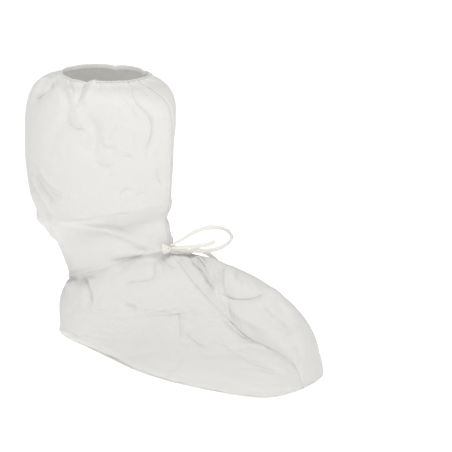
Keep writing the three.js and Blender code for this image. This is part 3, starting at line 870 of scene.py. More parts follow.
@dataclass
class Upper:
    """The two cloth halves of the overshoe, sewn together in front and behind.

    Attributes:
        rows: grid rows from the hem to the toe.
        columns: grid columns from the front seam to the back seam or the sole.
        wall: thickness of the cloth.
        seam_depth: how far a seam draws the cloth in.
        seam_width: over what distance.
        facets: height of the small facets on the leg, and how much more on the foot.
        swell: height of the broad swells.
        turn_up: how far the top edge turns up outside the hem.
        turn_reach: over what distance.
        above_tie: how far the cloth over the tie hangs down and stands out.
        below_tie: how far the cloth under the tie stands out and is pulled up.
        spare: spare width at the tie, and how much less in front.
        slack: spare width and length all over, and the most by which they vary.
        glow_rows: section rows over which the lining's painted glow fades, painted light that stands in for
            light coming in at the top.
        sole_tuck: height over which the lower edge comes down onto the sole.
        form: the smooth form.
        s: each grid row's row number in the section table.
        across: each column's share of the way from the front seam.
        at_tie: each row's nearness to the tie, from 0 to 1.
        at_hem: the same for the hem.
        in_front: each column's nearness to the front seam, for each half.
        plain: both halves before creases.
        cloth: both halves, settled.
        rim: their top edge, before it turns up.
        away: each point's distance from its nearest crease line, below 0 on one side.
        keen: how sharp that line is there, from 0 to 1.
    """

    rows: int = 300
    columns: int = 158
    wall: float = 0.5
    seam_depth: float = 0.2
    seam_width: float = 1.8
    facets: Pair = (1.4, 0.6)
    swell: float = 1.8
    turn_up: float = 4.0
    turn_reach: float = 3.4
    above_tie: Pair = (4.6, 2.2)
    below_tie: Pair = (3.2, 1.6)
    spare: Pair = (0.26, 0.2)
    slack: Pair = (0.004, 0.012)
    glow_rows: float = 5.0
    sole_tuck: float = 3.0
    form: Form = field(default_factory=Form)
    s: Array = field(init=False, repr=False)
    across: Array = field(init=False, repr=False)
    at_tie: Array = field(init=False, repr=False)
    at_hem: Array = field(init=False, repr=False)
    in_front: tuple[Array, Array] = field(init=False, repr=False)
    plain: Array = field(init=False, repr=False)
    cloth: Array = field(init=False, repr=False)
    rim: Array = field(init=False, repr=False)
    away: Array = field(init=False, repr=False)
    keen: Array = field(init=False, repr=False)

    def __post_init__(self) -> None:
        self.s = self.even_rows()
        self.across = np.linspace(0, 1, self.columns)
        self.at_tie = bell(self.s, TIE_ROW, np.where(self.s < TIE_ROW, 1.3, 0.8))
        self.at_hem = bell(self.s, 0, 1.1)
        self.in_front = 1 - smoothstep(0.55, 0.9, self.across), 1 - smoothstep(0.25, 0.5, self.across)

    def even_rows(self) -> Array:
        """Row numbers that lie about evenly along the cloth.

        Returns:
            A row number of the section table for each grid row.
        """
        s = np.linspace(0, LAST, LAST * 40 + 1)
        reach = np.zeros(len(s) - 1)
        for side in Side:
            for t in (0.02, 0.25, 0.5, 0.75, 0.98):
                line = self.form.point(side, s, np.full_like(s, t))
                reach = np.maximum(reach, lengths(np.diff(line, axis=0)))
        total = np.concatenate([[0], np.cumsum(reach)])
        return np.interp(np.linspace(0, total[-1], self.rows), total, s)

    def even_columns(self, side: Side) -> Array:
        """A half's grid, its columns evenly spaced along each row.

        Args:
            side: the half.

        Returns:
            Rows by columns by 3.
        """
        t = (1 - np.cos(np.linspace(0, np.pi, 401))) / 2
        fine = self.form.point(side, self.s[:, None], t[None, :])
        out = np.empty((self.rows, self.columns, 3))
        for row, line in zip(out, fine):
            total = travelled(line)
            want = np.linspace(0, total[-1], self.columns)
            for k in range(3):
                row[:, k] = np.interp(want, total, line[:, k])
        return out

    @staticmethod
    def eased(grid: Array, where: Array, rounds: int) -> Array:
        """A grid, smoothed inside its border where asked.

        Args:
            grid: rows by columns by 3.
            where: rows by columns, from 0 to 1.
            rounds: how many times each point moves to the middle of its neighbours.

        Returns:
            The smoothed grid.
        """
        grid = grid.copy()
        share = where[1:-1, 1:-1, None]
        for _ in range(rounds):
            middle = (grid[:-2, 1:-1] + grid[2:, 1:-1] + grid[1:-1, :-2] + grid[1:-1, 2:]) / 4
            grid[1:-1, 1:-1] += (middle - grid[1:-1, 1:-1]) * share
        return grid

    def bridged(self, grid: Array, rows: Array) -> Array:
        """Both halves with the groove along the front seam filled.

        Args:
            grid: sides by rows by columns by 3.
            rows: how much of the groove is filled in each row, from 0 to 1.

        Returns:
            The two halves, still joined along the seam.
        """
        last = grid.shape[2] - 1
        whole = np.concatenate([grid[0][:, ::-1], grid[1][:, 1:]], axis=1)
        near = bell(np.arange(whole.shape[1]), last, 0.07 * last)
        whole = self.eased(whole, rows[:, None] * near[None, :], 150)
        return np.stack([whole[:, last::-1], whole[:, last:]])

    def smooth_form(self) -> Array:
        """Both halves before creases, with the heel's sides and the front seam's groove eased.

        Returns:
            Sides by rows by columns by 3.
        """
        low = 0.06 * smoothstep(0.6, 0.8, self.across)
        heel_side = np.maximum(plateau(self.across, HEEL_MIDDLE), low)
        where = plateau(self.s, HEEL_ROWS)[:, None] * heel_side[None, :]
        plain = np.stack([self.eased(self.even_columns(side), where, 320) for side in Side])
        return self.bridged(plain, plateau(self.s, GROOVE_ROWS))

    @staticmethod
    def normals(grid: Array) -> Array:
        """Outward unit normals of both halves.

        Args:
            grid: sides by rows by columns by 3.

        Returns:
            The same shape.
        """
        along = np.gradient(grid, axis=1)
        across = np.gradient(grid, axis=2)
        out = np.cross(along, across)
        out[0] *= -1
        out = unit(out)
        out[:, -1] = out[:, -2]
        return out

    @staticmethod
    def laid_on(line: Sequence[Point], flat: Array, up: Array, step: float = 2.5) -> Array:
        """A line of points laid on a panel, sampled evenly.

        Args:
            line: the line, near the panel.
            flat: the panel's points before creases, one after another.
            up: their outward unit normals.
            step: the distance between two samples.

        Returns:
            The samples on the panel.
        """
        ends = np.asarray(line, float)
        total = travelled(ends)
        want = np.linspace(0, total[-1], max(3, int(total[-1] / step)))
        samples = SmoothCurve(ends).at(np.interp(want, total, np.arange(len(ends))))
        nearest = [np.argmin(((flat - sample) ** 2).sum(1)) for sample in samples]
        laid = samples - up[nearest] * ((samples - flat[nearest]) * up[nearest]).sum(1, keepdims=True)
        laid[1:-1] = (laid[:-2] + 2 * laid[1:-1] + laid[2:]) / 4
        return laid

    def crease_field(self, crease: Crease, points: Array, normal: Array) -> tuple[Array, Array, Array]:
        """How far one crease moves each point outwards, and where its sharp line runs.

        Args:
            crease: the crease.
            points: points of its panel, before creases.
            normal: their outward unit normals.

        Returns:
            For each point its height, its distance from the line along the cloth, below 0 on
            one side, and how sharp the line is there.
        """
        flat, up = points.reshape(-1, 3), normal.reshape(-1, 3)
        line = self.laid_on(crease.points, flat, up)
        near = np.full(len(flat), 1e9)
        away = np.zeros(len(flat))
        share = np.zeros(len(flat))
        starts = travelled(line)
        for a, b, length, before in zip(line[:-1], line[1:], lengths(np.diff(line, axis=0)), starts):
            if length < 1e-3:
                continue
            run = (b - a) / length
            u = np.clip((flat - a) @ run, 0, length)
            gap = flat - (a + u[:, None] * run)
            far = lengths(gap)
            closer = far < near
            near = np.where(closer, far, near)
            aside = (gap * unit(np.cross(up, run))).sum(1)
            away = np.where(closer, np.sign(aside) * np.hypot(aside, gap @ run), away)
            share = np.where(closer, (before + u) / starts[-1], share)
        left = crease.left_at(share)
        height = crease.height * left * crease.profile(near, away)
        grid = points.shape[:-1]
        return height.reshape(grid), away.reshape(grid), (crease.sharpness() * left).reshape(grid)

    def seam_draw(self, grid: Array) -> Array:
        """How far the seams draw each point in.

        Args:
            grid: sides by rows by columns by 3.

        Returns:
            Heights below 0, sides by rows by columns.
        """
        front = lengths(grid - grid[:, :, :1])
        back = lengths(grid - grid[:, :, -1:])
        back = np.where((self.s <= HEEL)[None, :, None], back, 1e3)
        return -self.seam_depth * bell(np.minimum(front, back), 0, self.seam_width)

    def lay_creases(self, normal: Array) -> Array:
        """Lays every crease, the crumples and the swells on both halves.

        Args:
            normal: outward unit normals of the plain halves.

        Returns:
            How far each point moves outwards, sides by rows by columns.
        """
        height = self.seam_draw(self.plain)
        self.away = np.full(height.shape, 9.0)
        self.keen = np.zeros(height.shape)
        for k, creases in enumerate((OUTER_CREASES, INNER_CREASES)):
            for crease in creases:
                lift, away, keen = self.crease_field(crease, self.plain[k], normal[k])
                height[k] += lift
                closer = (np.abs(away) < np.abs(self.away[k])) & (keen.max() > 0)
                self.away[k] = np.where(closer, away, self.away[k])
                self.keen[k] = np.where(closer, keen, self.keen[k])
        self.keen *= 1 - smoothstep(1.8, 4.0, np.abs(self.away))
        on_leg, more_on_foot = self.facets
        stiff = on_leg + more_on_foot * smoothstep(*FOOT_ROWS, self.s)
        stiff *= plateau(self.s, CRUMPLE_ROWS)
        broad = plateau(self.s, SWELL_ROWS, self.swell)
        for k in (0, 1):
            height[k] += stiff[:, None] * crumple(height.shape[1:], SEEDS["facets"] + FACETS_STEP * k)
            height[k] += broad[:, None] * soft_noise(height.shape[1:], (9, 4), SEEDS["swells"] + k)
        return height * (1 - bell(self.s, TIE_ROW, 0.5)[None, :, None])

    def roll_over_tie(self, form: Array, normal: Array) -> None:
        """Rolls the cloth over the tie from above and puffs it out below, in place.

        Args:
            form: both halves with their creases.
            normal: outward unit normals of the plain halves.
        """
        loose = soft_noise(form.shape[1:3], (6, 11), SEEDS["roll"])
        cover = np.stack([0.85 + 0.25 * loose, 0.5 + 0.5 * loose])
        filled = cover + 0.35 * self.in_front[1][None, None, :]
        down = unit(np.gradient(self.plain, axis=1))
        above = bell(self.s, TIE_TOP, np.where(self.s < TIE_TOP, 0.75, 0.22))[None, :, None]
        below = bell(self.s, UNDER_TIE_ROW, 0.3)[None, :, None]
        hang, stand = self.above_tie
        form += (down * hang + normal * stand) * (above * cover)[..., None]
        stand, drawn_up = self.below_tie
        form += (normal * stand - down * drawn_up) * (below * filled)[..., None]

    def cut_lengths(self) -> Array:
        """Cut length over the form's length, across and along the cloth.

        Returns:
            Sides by rows by columns by 2.
        """
        grid = self.plain.shape[:3]
        spare, less_in_front = self.spare
        least, most = self.slack
        ease = np.ones((*grid, 2))
        at_tie = np.stack([spare - less_in_front * near for near in self.in_front])
        ease[..., 0] += least + self.at_tie[None, :, None] * at_tie[:, None, :]
        ease[..., 0] += 0.2 * self.at_hem[None, :, None]
        ease[..., 1] += least + 0.02 * self.at_tie[None, :, None]
        slack = 0.5 + 0.5 * soft_noise(grid[1:], (14, 5), SEEDS["slack"])[None]
        ease[..., 0] += most * np.clip(slack, 0, 1)
        ease[..., 1] += most * np.clip(slack[:, ::-1], 0, 1)
        return ease

    def limits(self) -> tuple[Array, Array]:
        """How far the cloth may lie inside and outside its form.

        Returns:
            The lowest and the highest height over the form, for each row.
        """
        low = (-3.0 - 4.0 * self.at_tie - 1.0 * self.at_hem)[None, :, None]
        high = (3.0 + 3.0 * self.at_tie)[None, :, None]
        under_tape = bell(self.s, TIE_ROW, 0.45, 4)[None, :, None]
        high = high * (1 - under_tape) + 0.3 * under_tape
        in_casing = bell(self.s, 0, 0.25)[None, :, None]
        high = high * (1 - in_casing) + 0.2 * in_casing
        low = low * (1 - in_casing) - 2.2 * in_casing
        return low, high

    def first_folds(self, form: Array, normal: Array) -> Array:
        """The form with small bumps and gathers, from which the cloth starts to settle.

        Args:
            form: both halves with their creases.
            normal: its outward unit normals.

        Returns:
            The same shape as the form.
        """
        start = np.empty_like(form)
        for k in (0, 1):
            bumps = 0.35 * soft_noise(form.shape[1:3], (60, 24), SEEDS["bumps"] + k)
            gathers = soft_noise(form.shape[1:3], (8, 13), SEEDS["gathers"] + k)
            calm = 1 - 0.8 * self.in_front[k][None, :] * self.at_tie[:, None]
            bumps += gathers * (1.8 * self.at_tie + 0.9 * self.at_hem)[:, None] * calm
            start[k] = form[k] + normal[k] * bumps[..., None]
        return start

    def settled(self, form: Array) -> Array:
        """Lets the cloth settle on its form.

        Args:
            form: both halves with their creases.

        Returns:
            Both halves, settled and joined at their seams.
        """
        normal = self.normals(form)
        low, high = self.limits()
        on_back = self.s <= HEEL
        hold = np.ones(form.shape[:3])
        hold[:, self.s > HEEL, -1] = 0
        hold[:, -1] = 0

        def limit(p: Array) -> Array:
            """Keeps the cloth near its form and above the sole.

            Args:
                p: both halves.

            Returns:
                Both halves within the limits.
            """
            move = p - form
            out = (move * normal).sum(-1)
            slide = move - out[..., None] * normal
            reach = lengths(slide)
            slide *= np.minimum(1, 3.0 / np.maximum(reach, 1e-6))[..., None]
            kept = form + slide + np.clip(out, low, high)[..., None] * normal
            kept[..., 2] = np.maximum(kept[..., 2], SEAM_GAP)
            return kept

        def tie_seams(p: Array) -> None:
            """Joins the halves along both seams, in place.

            Args:
                p: both halves.
            """
            front = (p[0, :, 0] + p[1, :, 0]) / 2
            front[:, 0] += (form[0, :, 0, 0] + form[1, :, 0, 0]) / 2 - front[:, 0]
            p[0, :, 0] = p[1, :, 0] = front
            back = (p[0, on_back, -1] + p[1, on_back, -1]) / 2
            p[0, on_back, -1] = p[1, on_back, -1] = back

        drape = Drape(rounds=160)
        pull = 0.05 - 0.042 * np.clip(self.at_tie + self.at_hem, 0, 1)
        start = self.first_folds(form, normal)
        return drape.settle(form, start, self.cut_lengths(), hold, pull, limit, tie_seams)

    def shape(self) -> None:
        """Works out the form, lays the creases, lets the cloth settle and turns its top edge up."""
        self.plain = self.smooth_form()
        normal = self.normals(self.plain)
        form = self.plain + normal * self.lay_creases(normal)[..., None]
        form[:, -1] = self.plain[:, -1]
        form[:, self.s > HEEL, -1] = self.plain[:, self.s > HEEL, -1]
        self.roll_over_tie(form, normal)
        self.cloth = self.settled(form)
        self.rim = self.cloth[:, 0].copy()
        away = lengths(self.cloth - self.cloth[:, :1])
        self.cloth[..., 2] += self.turn_up * bell(away, 0, self.turn_reach, 1.5)

    def cloth_uv(self, side: Side, ruling: int = 40) -> Array:
        """A half's UV map, from distances along its plain form.

        Args:
            side: the half.
            ruling: the column whose lengths hold for the whole width.

        Returns:
            Rows by columns by 2, in millimetres.
        """
        plain = self.plain[side.half]
        u = np.cumsum(lengths(np.diff(plain, axis=1, prepend=plain[:, :1])), axis=1)
        v = np.cumsum(lengths(np.diff(plain, axis=0, prepend=plain[:1])), axis=0)
        return np.stack([u * side.value, np.repeat(v[:, ruling : ruling + 1], v.shape[1], axis=1)], axis=2)

    def panel(self, side: Side, normal: Array, material: Material) -> Object:
        """Makes one half.

        Args:
            side: the half.
            normal: the outward unit normals of both halves.
            material: the cloth.

        Returns:
            The piece.
        """
        k, name = side.half, side.name.lower()
        face = self.cloth[k].copy()
        face[..., 2] -= SEAM_GAP * np.exp(-face[..., 2] / self.sole_tuck)
        uv = self.cloth_uv(side)
        piece = sheet_mesh(f"{name}_panel_cloth", face, -normal[k], self.wall, uv, flip=side is Side.INNER)
        away, keen = self.away[k].ravel(), self.keen[k].ravel()
        # Painted light: the lining glows, brightest at the hem and fading down the leg, in place of light
        # that comes in at the opening and through the cloth.
        glow = np.repeat(np.exp(-self.s / self.glow_rows)[:, None], self.columns, axis=1).ravel()
        set_values(piece, "crease_away", np.concatenate([away, away]))
        set_values(piece, "crease_keen", np.concatenate([keen, 0 * keen]))
        set_values(piece, "lining", np.concatenate([0 * glow, glow]))
        close_up(piece)
        put_on(piece, material, [f"{name}_panel"])
        return piece

    def build(self, material: Material) -> list[Object]:
        """Makes both halves.

        Args:
            material: the cloth.

        Returns:
            The two pieces, outer and inner.
        """
        self.shape()
        normal = self.normals(self.cloth)
        return [self.panel(side, normal, material) for side in Side]

    def waist(self) -> Array:
        """The closed line of the cloth under the tie."""
        return closed_line(self.cloth[:, int(np.argmin(np.abs(self.s - TIE_ROW)))])

    def seam_lines(self, lift: float = 0.15) -> list[Array]:
        """The lines that the stitches of the front and the back seam follow, lift outside the cloth."""
        raised = self.cloth[0] + self.normals(self.cloth)[0] * lift
        return [raised[2:-2, 2], raised[self.s <= HEEL, -3][2:-2]]


# ---- sole, hem, tape ----

# The sole's section from the middle of its top to the middle of its underside: share of the
# way out from its centre, how far beyond the edge of the upper, and height.
SOLE_SECTION = (
    (0.02, 0.0, 0.0), (0.5, 0.0, 0.0), (0.93, 0.0, 0.0), (1.0, -0.6, 0.0),
    (1.0, 0.35, -0.1), (1.0, 0.5, -0.55), (1.0, 0.5, -1.05), (1.0, 0.35, -1.5),
    (1.0, -0.6, -1.6), (0.93, 0.0, -1.6), (0.5, 0.0, -1.6), (0.02, 0.0, -1.594),
)  # fmt: skip


@dataclass
class Sole:
    """The flat sole with its rounded lip.

    Attributes:
        steps: points along each side of its edge.
        form: the smooth form of the upper.
    """

    steps: int = 160
    form: Form = field(default_factory=Form)

    def outline(self) -> Array:
        """The sole's edge seen from above.

        Returns:
            Its points, anticlockwise, in millimetres.
        """
        share = np.linspace(0, 1, self.steps, endpoint=False)
        outer = self.form.sole[Side.OUTER].along(share)
        inner = self.form.sole[Side.INNER].along(1 - share)
        return np.concatenate([outer, inner])

    def build(self, material: Material) -> Object:
        """Makes the sole.

        Args:
            material: its film.

        Returns:
            The piece.
        """
        edge = self.outline()
        tangent = ring_tangent(edge)
        out = facing_out(np.stack([tangent[:, 1], -tangent[:, 0], np.zeros(len(edge))], 1), edge)
        centre = np.array([0.0, edge[:, 1].mean(), 0.0])
        loops = []
        for scale, reach, height in SOLE_SECTION:
            ring = centre + (edge - centre) * scale + out * reach
            ring[:, 2] = height
            loops.append(ring)
        piece = ring_mesh("sole_cloth_piece", np.stack(loops), capped=True)
        put_on(piece, material, ["sole"])
        return piece


@dataclass
class Hem:
    """The cloth casing at the top, gathered by the elastic inside it.

    Attributes:
        height: height of the casing.
        thick: its thickness.
        squareness: how square its section is, smaller for squarer.
        inset: how far its middle lies inside the upper's top edge.
        overlap: how far it reaches down over that edge.
        follow: how much of that edge's own waviness it keeps, from 0 to 1.
        ruffle: depth of the puckers that the elastic draws.
        ruffle_lift: how far a pucker stands up on the casing's top.
        spacing: the least and the most from one pucker to the next.
        pucker: width of a pucker.
        around: points round the casing.
        section: points round its section.
    """

    height: float = 5.6
    thick: float = 1.7
    squareness: float = 0.7
    inset: float = 1.25
    overlap: float = 0.6
    follow: float = 0.3
    ruffle: float = 0.7
    ruffle_lift: float = 0.35
    spacing: Pair = (4.2, 8.2)
    pucker: float = 1.3
    around: int = 520
    section: int = 16

    def puckers(self, want: Array, total: float) -> Array:
        """How strongly the elastic draws the casing in.

        Args:
            want: how far round the casing each point lies.
            total: the whole way round.

        Returns:
            One number for each point.
        """
        rng = np.random.default_rng(SEEDS["hem"])
        place = np.cumsum(rng.uniform(*self.spacing, 120))
        place = place[place < total] * total / place[place < total].max()
        size = rng.uniform(0.5, 1.0, len(place))
        drawn = np.zeros(len(want))
        for at, much in zip(place, size):
            gap = (want - at + total / 2) % total - total / 2
            drawn += much * bell(gap, 0, self.pucker)
        return drawn

    def loops(self, rim: Array) -> Array:
        """The casing's sections.

        Args:
            rim: the closed top edge of the upper, in millimetres.

        Returns:
            Points round the casing by points round its section by 3.
        """
        line, want, total = resampled(rim, self.around)
        smooth = evened(line, 60)
        out = facing_out(unit(np.cross(ring_tangent(smooth, 2), [0, 0, 1])), smooth)
        drawn = self.puckers(want, total)
        middle = line * self.follow + smooth * (1 - self.follow)
        loops = np.empty((self.around, self.section, 3))
        for k, angle in enumerate(around(self.section)):
            outward, upward = rounded_box(angle, self.squareness)
            fade = 0.5 - 0.5 * np.cos(angle + np.pi) if np.cos(angle) > 0 else 0.3
            radial = outward * self.thick / 2 - self.ruffle * drawn * fade - self.inset
            loops[:, k] = middle + out * radial[:, None]
            loops[:, k, 2] += upward * self.height / 2 + self.height / 2 - self.overlap
            if upward > 0:
                loops[:, k, 2] += self.ruffle_lift * drawn
        return loops

    def build(self, rim: Array, material: Material) -> Object:
        """Makes the casing on the upper's top edge.

        Args:
            rim: the closed top edge of the upper, in millimetres.
            material: its cloth.

        Returns:
            The piece.
        """
        loops = self.loops(rim)
        piece = ring_mesh("hem_casing", loops)
        spots = np.empty(len(piece.data.vertices) * 3)
        piece.data.vertices.foreach_get("co", spots)
        from_middle = (spots.reshape(-1, 3) / MM - loops.reshape(-1, 3).mean(0))[:, :2]
        size = np.ptp(resampled(rim, self.around)[0], axis=0)[:2]
        # The inner side gets painted light, a glow as on the lining but weaker, in place of light that comes
        # through the cloth.
        glow = 0.6 * smoothstep(0.5, 0.47, lengths(from_middle / size))
        set_values(piece, "lining", glow)
        put_on(piece, material, ["elastic_hem"])
        return piece


# The bow's routes, in metres, as in the CAD.
LOOP_ROUTE = (
    (-0.0047, -0.0925, 0.1215), (-0.001, -0.0965, 0.1245), (0.004, -0.102, 0.1285),
    (0.009, -0.108, 0.1335), (0.013, -0.113, 0.137), (0.018, -0.1185, 0.1395),
    (0.023, -0.124, 0.141), (0.028, -0.13, 0.141), (0.033, -0.1355, 0.139),
    (0.0365, -0.1395, 0.135), (0.0375, -0.141, 0.13), (0.0355, -0.1385, 0.1245),
    (0.031, -0.1335, 0.12), (0.025, -0.127, 0.117), (0.018, -0.119, 0.116),
    (0.0115, -0.1115, 0.1159), (0.005, -0.104, 0.1163), (0.0, -0.098, 0.1169),
    (-0.0047, -0.0925, 0.1173),
)  # fmt: skip
TAIL_LONG_ROUTE = (
    (-0.0047, -0.0925, 0.115), (0.001, -0.0968, 0.1143), (0.008, -0.101, 0.1134),
    (0.014, -0.1042, 0.1136), (0.02, -0.1076, 0.1139), (0.026, -0.111, 0.1124),
    (0.0325, -0.1152, 0.1076), (0.0385, -0.1193, 0.1004), (0.0434, -0.1229, 0.0926),
    (0.0477, -0.126, 0.0842), (0.0514, -0.1288, 0.0754), (0.0546, -0.1314, 0.0664),
    (0.0572, -0.1337, 0.0576), (0.0594, -0.1358, 0.0494),
)  # fmt: skip
TAIL_SHORT_ROUTE = (
    (-0.0047, -0.0927, 0.1194), (0.002, -0.1006, 0.1198), (0.0095, -0.1085, 0.1204),
    (0.0165, -0.116, 0.1212), (0.0225, -0.1225, 0.1228), (0.027, -0.1275, 0.126),
)  # fmt: skip


@dataclass(frozen=True)
class Strand:
    """One free length of the tape.

    Attributes:
        name: the piece's name.
        node: the CAD node that it stands for.
        route: the points that it follows, in metres.
        far_end: what it ends in; not used.
        pinch: share of its full width at its two ends.
        twist: turn of its flat side in radians: at its start, more towards its end, more in
            its middle, and to and fro on the way.
    """

    name: str
    node: str
    route: tuple[Point, ...]
    far_end: FarEnd
    pinch: Pair
    twist: tuple[float, float, float, float]

    def spin(self, share: Array) -> Array:
        """The turn of its flat side at shares of its length, in radians."""
        turn, drift, swing, ripple = self.twist
        return turn + drift * share + swing * np.sin(share * np.pi) ** 2 + ripple * np.sin(9 * share)


STRANDS = (
    Strand("bow_loop", "tie_loop", LOOP_ROUTE, FarEnd.OBJECT, (0.45, 0.45), (0.5, 0, -0.9, 0.3)),
    Strand("tape_end_long", "tie_tail_long", TAIL_LONG_ROUTE, FarEnd.BARE, (0.5, 1.0), (0.4, -0.6, 0, 0)),
    Strand("tape_end_short", "tie_tail_short", TAIL_SHORT_ROUTE, FarEnd.BARE, (0.5, 0.9), (0.5, -0.3, 0, 0)),
)


@dataclass
class AnkleTie:
    """The tape round the ankle, its knot and its bow.

    Attributes:
        wide: width of the tape.
        thick: thickness of the tape.
        bunched: its width round the ankle, where it is pulled tight.
        squareness: how square its section is, smaller for squarer.
        corners: points round its section.
        facing: the direction that the bow's flat side faces.
        knot_at: middle of the knot.
        knot_front: the direction that the knot faces.
        fuse: size of the grid on which the knot's parts are fused.
    """

    wide: float = 4.5
    thick: float = 0.8
    bunched: float = 3.4
    squareness: float = 0.5
    corners: int = 14
    facing: Point = (0.74, 0.61, -0.27)
    knot_at: Point = (-8.3, -89.6, 118.2)
    knot_front: Point = (0.55, -0.75, 0.15)
    fuse: float = 0.4

    def tape_uv(self, along: Array) -> Array:
        """The tape's UV map.

        Args:
            along: how far along the tape each section lies.

        Returns:
            Sections by corners by 2, in millimetres.
        """
        grid = (len(along), self.corners)
        across = np.linspace(0, 2 * self.wide, self.corners, endpoint=False)
        return np.stack([np.broadcast_to(across, grid), np.broadcast_to(along[:, None], grid)], 2)

    def sections(self, line: Array, across: Array, up: Array, wide: Array, thick: Array) -> Array:
        """Sections of the tape along a line.

        Args:
            line: the tape's middle.
            across: unit directions across its width.
            up: unit directions through its thickness.
            wide: its width at each point.
            thick: its thickness at each point.

        Returns:
            Points by corners by 3, in millimetres.
        """
        c, s = rounded_box(around(self.corners), self.squareness)
        body = across[:, None] * (c[None, :] * wide[:, None] / 2)[..., None]
        body = body + up[:, None] * (s[None, :] * thick[:, None] / 2)[..., None]
        return line[:, None] + body

    def strand(self, strand: Strand) -> tuple[Object, list[Point], float]:
        """Makes a free length of tape.

        Args:
            strand: which one.

        Returns:
            The piece, its path in metres and its length in metres.
        """
        share = np.linspace(0, 1, 90)
        line = SmoothCurve(np.asarray(strand.route) / MM).along(share)
        tangent = unit(np.gradient(line, axis=0))
        level = unit(np.cross(tangent, self.facing))
        upright = np.cross(level, tangent)
        turn = strand.spin(share)[:, None]
        flat = level * np.cos(turn) + upright * np.sin(turn)
        across = unit(flat - tangent * (flat * tangent).sum(1, keepdims=True))
        start, end = strand.pinch
        ends = (1 - (1 - start) * bell(share, 0, 0.07)) * (1 - (1 - end) * bell(1 - share, 0, 0.07))
        wide = self.wide * ends * (1 + 0.05 * np.sin(share * 43) + 0.04 * np.sin(share * 97 + 1))
        thick = self.thick * (1 + 0.5 * (1 - ends))
        length = lengths(np.diff(line, axis=0)).sum()
        loops = self.sections(line, across, np.cross(tangent, across), wide, thick)
        piece = ring_mesh(strand.name, loops, self.tape_uv(share * length), capped=True)
        return piece, [tuple(p) for p in (line * MM).tolist()], float(length * MM)

    def band(self, ring: Array, material: Material) -> Object:
        """Makes the tape lying in the waist of the cloth.

        Args:
            ring: the closed waist line of the cloth, in millimetres.
            material: the tape's.

        Returns:
            The piece.
        """
        line, want, _ = resampled(ring, 360)
        line = evened(line, 30)
        tangent = ring_tangent(line)
        out = facing_out(unit(np.cross(tangent, [0, 0.3, 0.95])), line)
        line = line + out * 0.7
        wave = 1 + 0.12 * np.sin(want / 9) + 0.08 * np.sin(want / 3.7 + 2)
        thick = np.full(len(line), self.thick)
        loops = self.sections(line, np.cross(tangent, out), out, self.bunched * wave, thick)
        piece = ring_mesh("ankle_tape", loops, self.tape_uv(want))
        put_on(piece, material, ["ankle_tie"])
        return piece

    def wraps(self) -> list[Object]:
        """The turns of tape round the knot.

        Returns:
            Three closed bands.
        """
        front, side, upright = self.knot_axes()
        steps, corners, half_thick = 40, 10, 0.9
        # Each turn's shift, the two directions that it runs in, its half size along each, its width.
        turns = (
            ((0.0, 0.0, 0.0), front, upright, 4.6, 2.9, 4.6),
            ((-1.5, 0.8, 0.6), side, upright, 3.6, 4.6, 3.8),
            ((1.4, -1.0, -0.8), unit(side + 0.5 * upright), front, 3.2, 3.4, 3.0),
        )
        made = []
        for shift, one, two, half, other, wide in turns:
            angle = around(steps)
            middle = np.array(self.knot_at) + shift
            line = middle + one * (np.cos(angle) * half)[:, None] + two * (np.sin(angle) * other)[:, None]
            across = np.cross(one, two)
            up = np.cross(ring_tangent(line), across)
            loops = np.empty((steps, corners, 3))
            for k, a in enumerate(around(corners)):
                loops[:, k] = line + across * (np.cos(a) * wide / 2) + up * (np.sin(a) * half_thick)
            made.append(ring_mesh("wrap", loops))
        return made

    def knot_axes(self) -> tuple[Array, Array, Array]:
        """The knot's own axes.

        Returns:
            Unit directions to its front, its side and its top.
        """
        front = unit(np.array(self.knot_front))
        upright = unit(np.array([0, 0, 1]) - front * front[2])
        return front, np.cross(upright, front), upright

    def core(self) -> Object:
        """The bunched tape inside the knot.

        Returns:
            An egg shape.
        """
        front, side, upright = self.knot_axes()
        ball = bmesh.new()
        bmesh.ops.create_icosphere(ball, subdivisions=3, radius=1.0)
        for v in ball.verts:
            p = np.array(self.knot_at) + front * v.co.x * 3.2 + side * v.co.y * 3.4 + upright * v.co.z * 4.8
            v.co = Vector((p * MM).tolist())
        mesh = bpy.data.meshes.new("core")
        ball.to_mesh(mesh)
        ball.free()
        return link_mesh("core", mesh)

    def knot(self, material: Material) -> Object:
        """Makes the knot: tape wrapped over a bunched core.

        Args:
            material: the tape's.

        Returns:
            The piece.
        """
        joined = bmesh.new()
        for part in (*self.wraps(), self.core()):
            joined.from_mesh(part.data)
            bpy.data.objects.remove(part)
        mesh = bpy.data.meshes.new("tape_knot")
        joined.to_mesh(mesh)
        joined.free()
        piece = link_mesh("tape_knot", mesh)
        remesh = piece.modifiers.new("fuse", "REMESH")
        remesh.mode = "VOXEL"
        remesh.voxel_size = self.fuse * MM
        smooth = piece.modifiers.new("soften", "SMOOTH")
        smooth.factor = 0.5
        smooth.iterations = 3
        made = bpy.data.meshes.new_from_object(piece.evaluated_get(bpy.context.evaluated_depsgraph_get()))
        piece.modifiers.clear()
        piece.data = made
        made.polygons.foreach_set("use_smooth", [True] * len(made.polygons))
        put_on(piece, material, ["tie_knot"])
        return piece

    def bow(self, material: Material) -> list[Object]:
        """Makes the bow's loop and the two ends of the tape, as cords.

        Args:
            material: the tape's.

        Returns:
            The three pieces.
        """
        made = []
        for strand in STRANDS:
            piece, path, length = self.strand(strand)
            put_on(piece, material, [strand.node])
            made.append(piece)
        return made


# ---- finishes ----


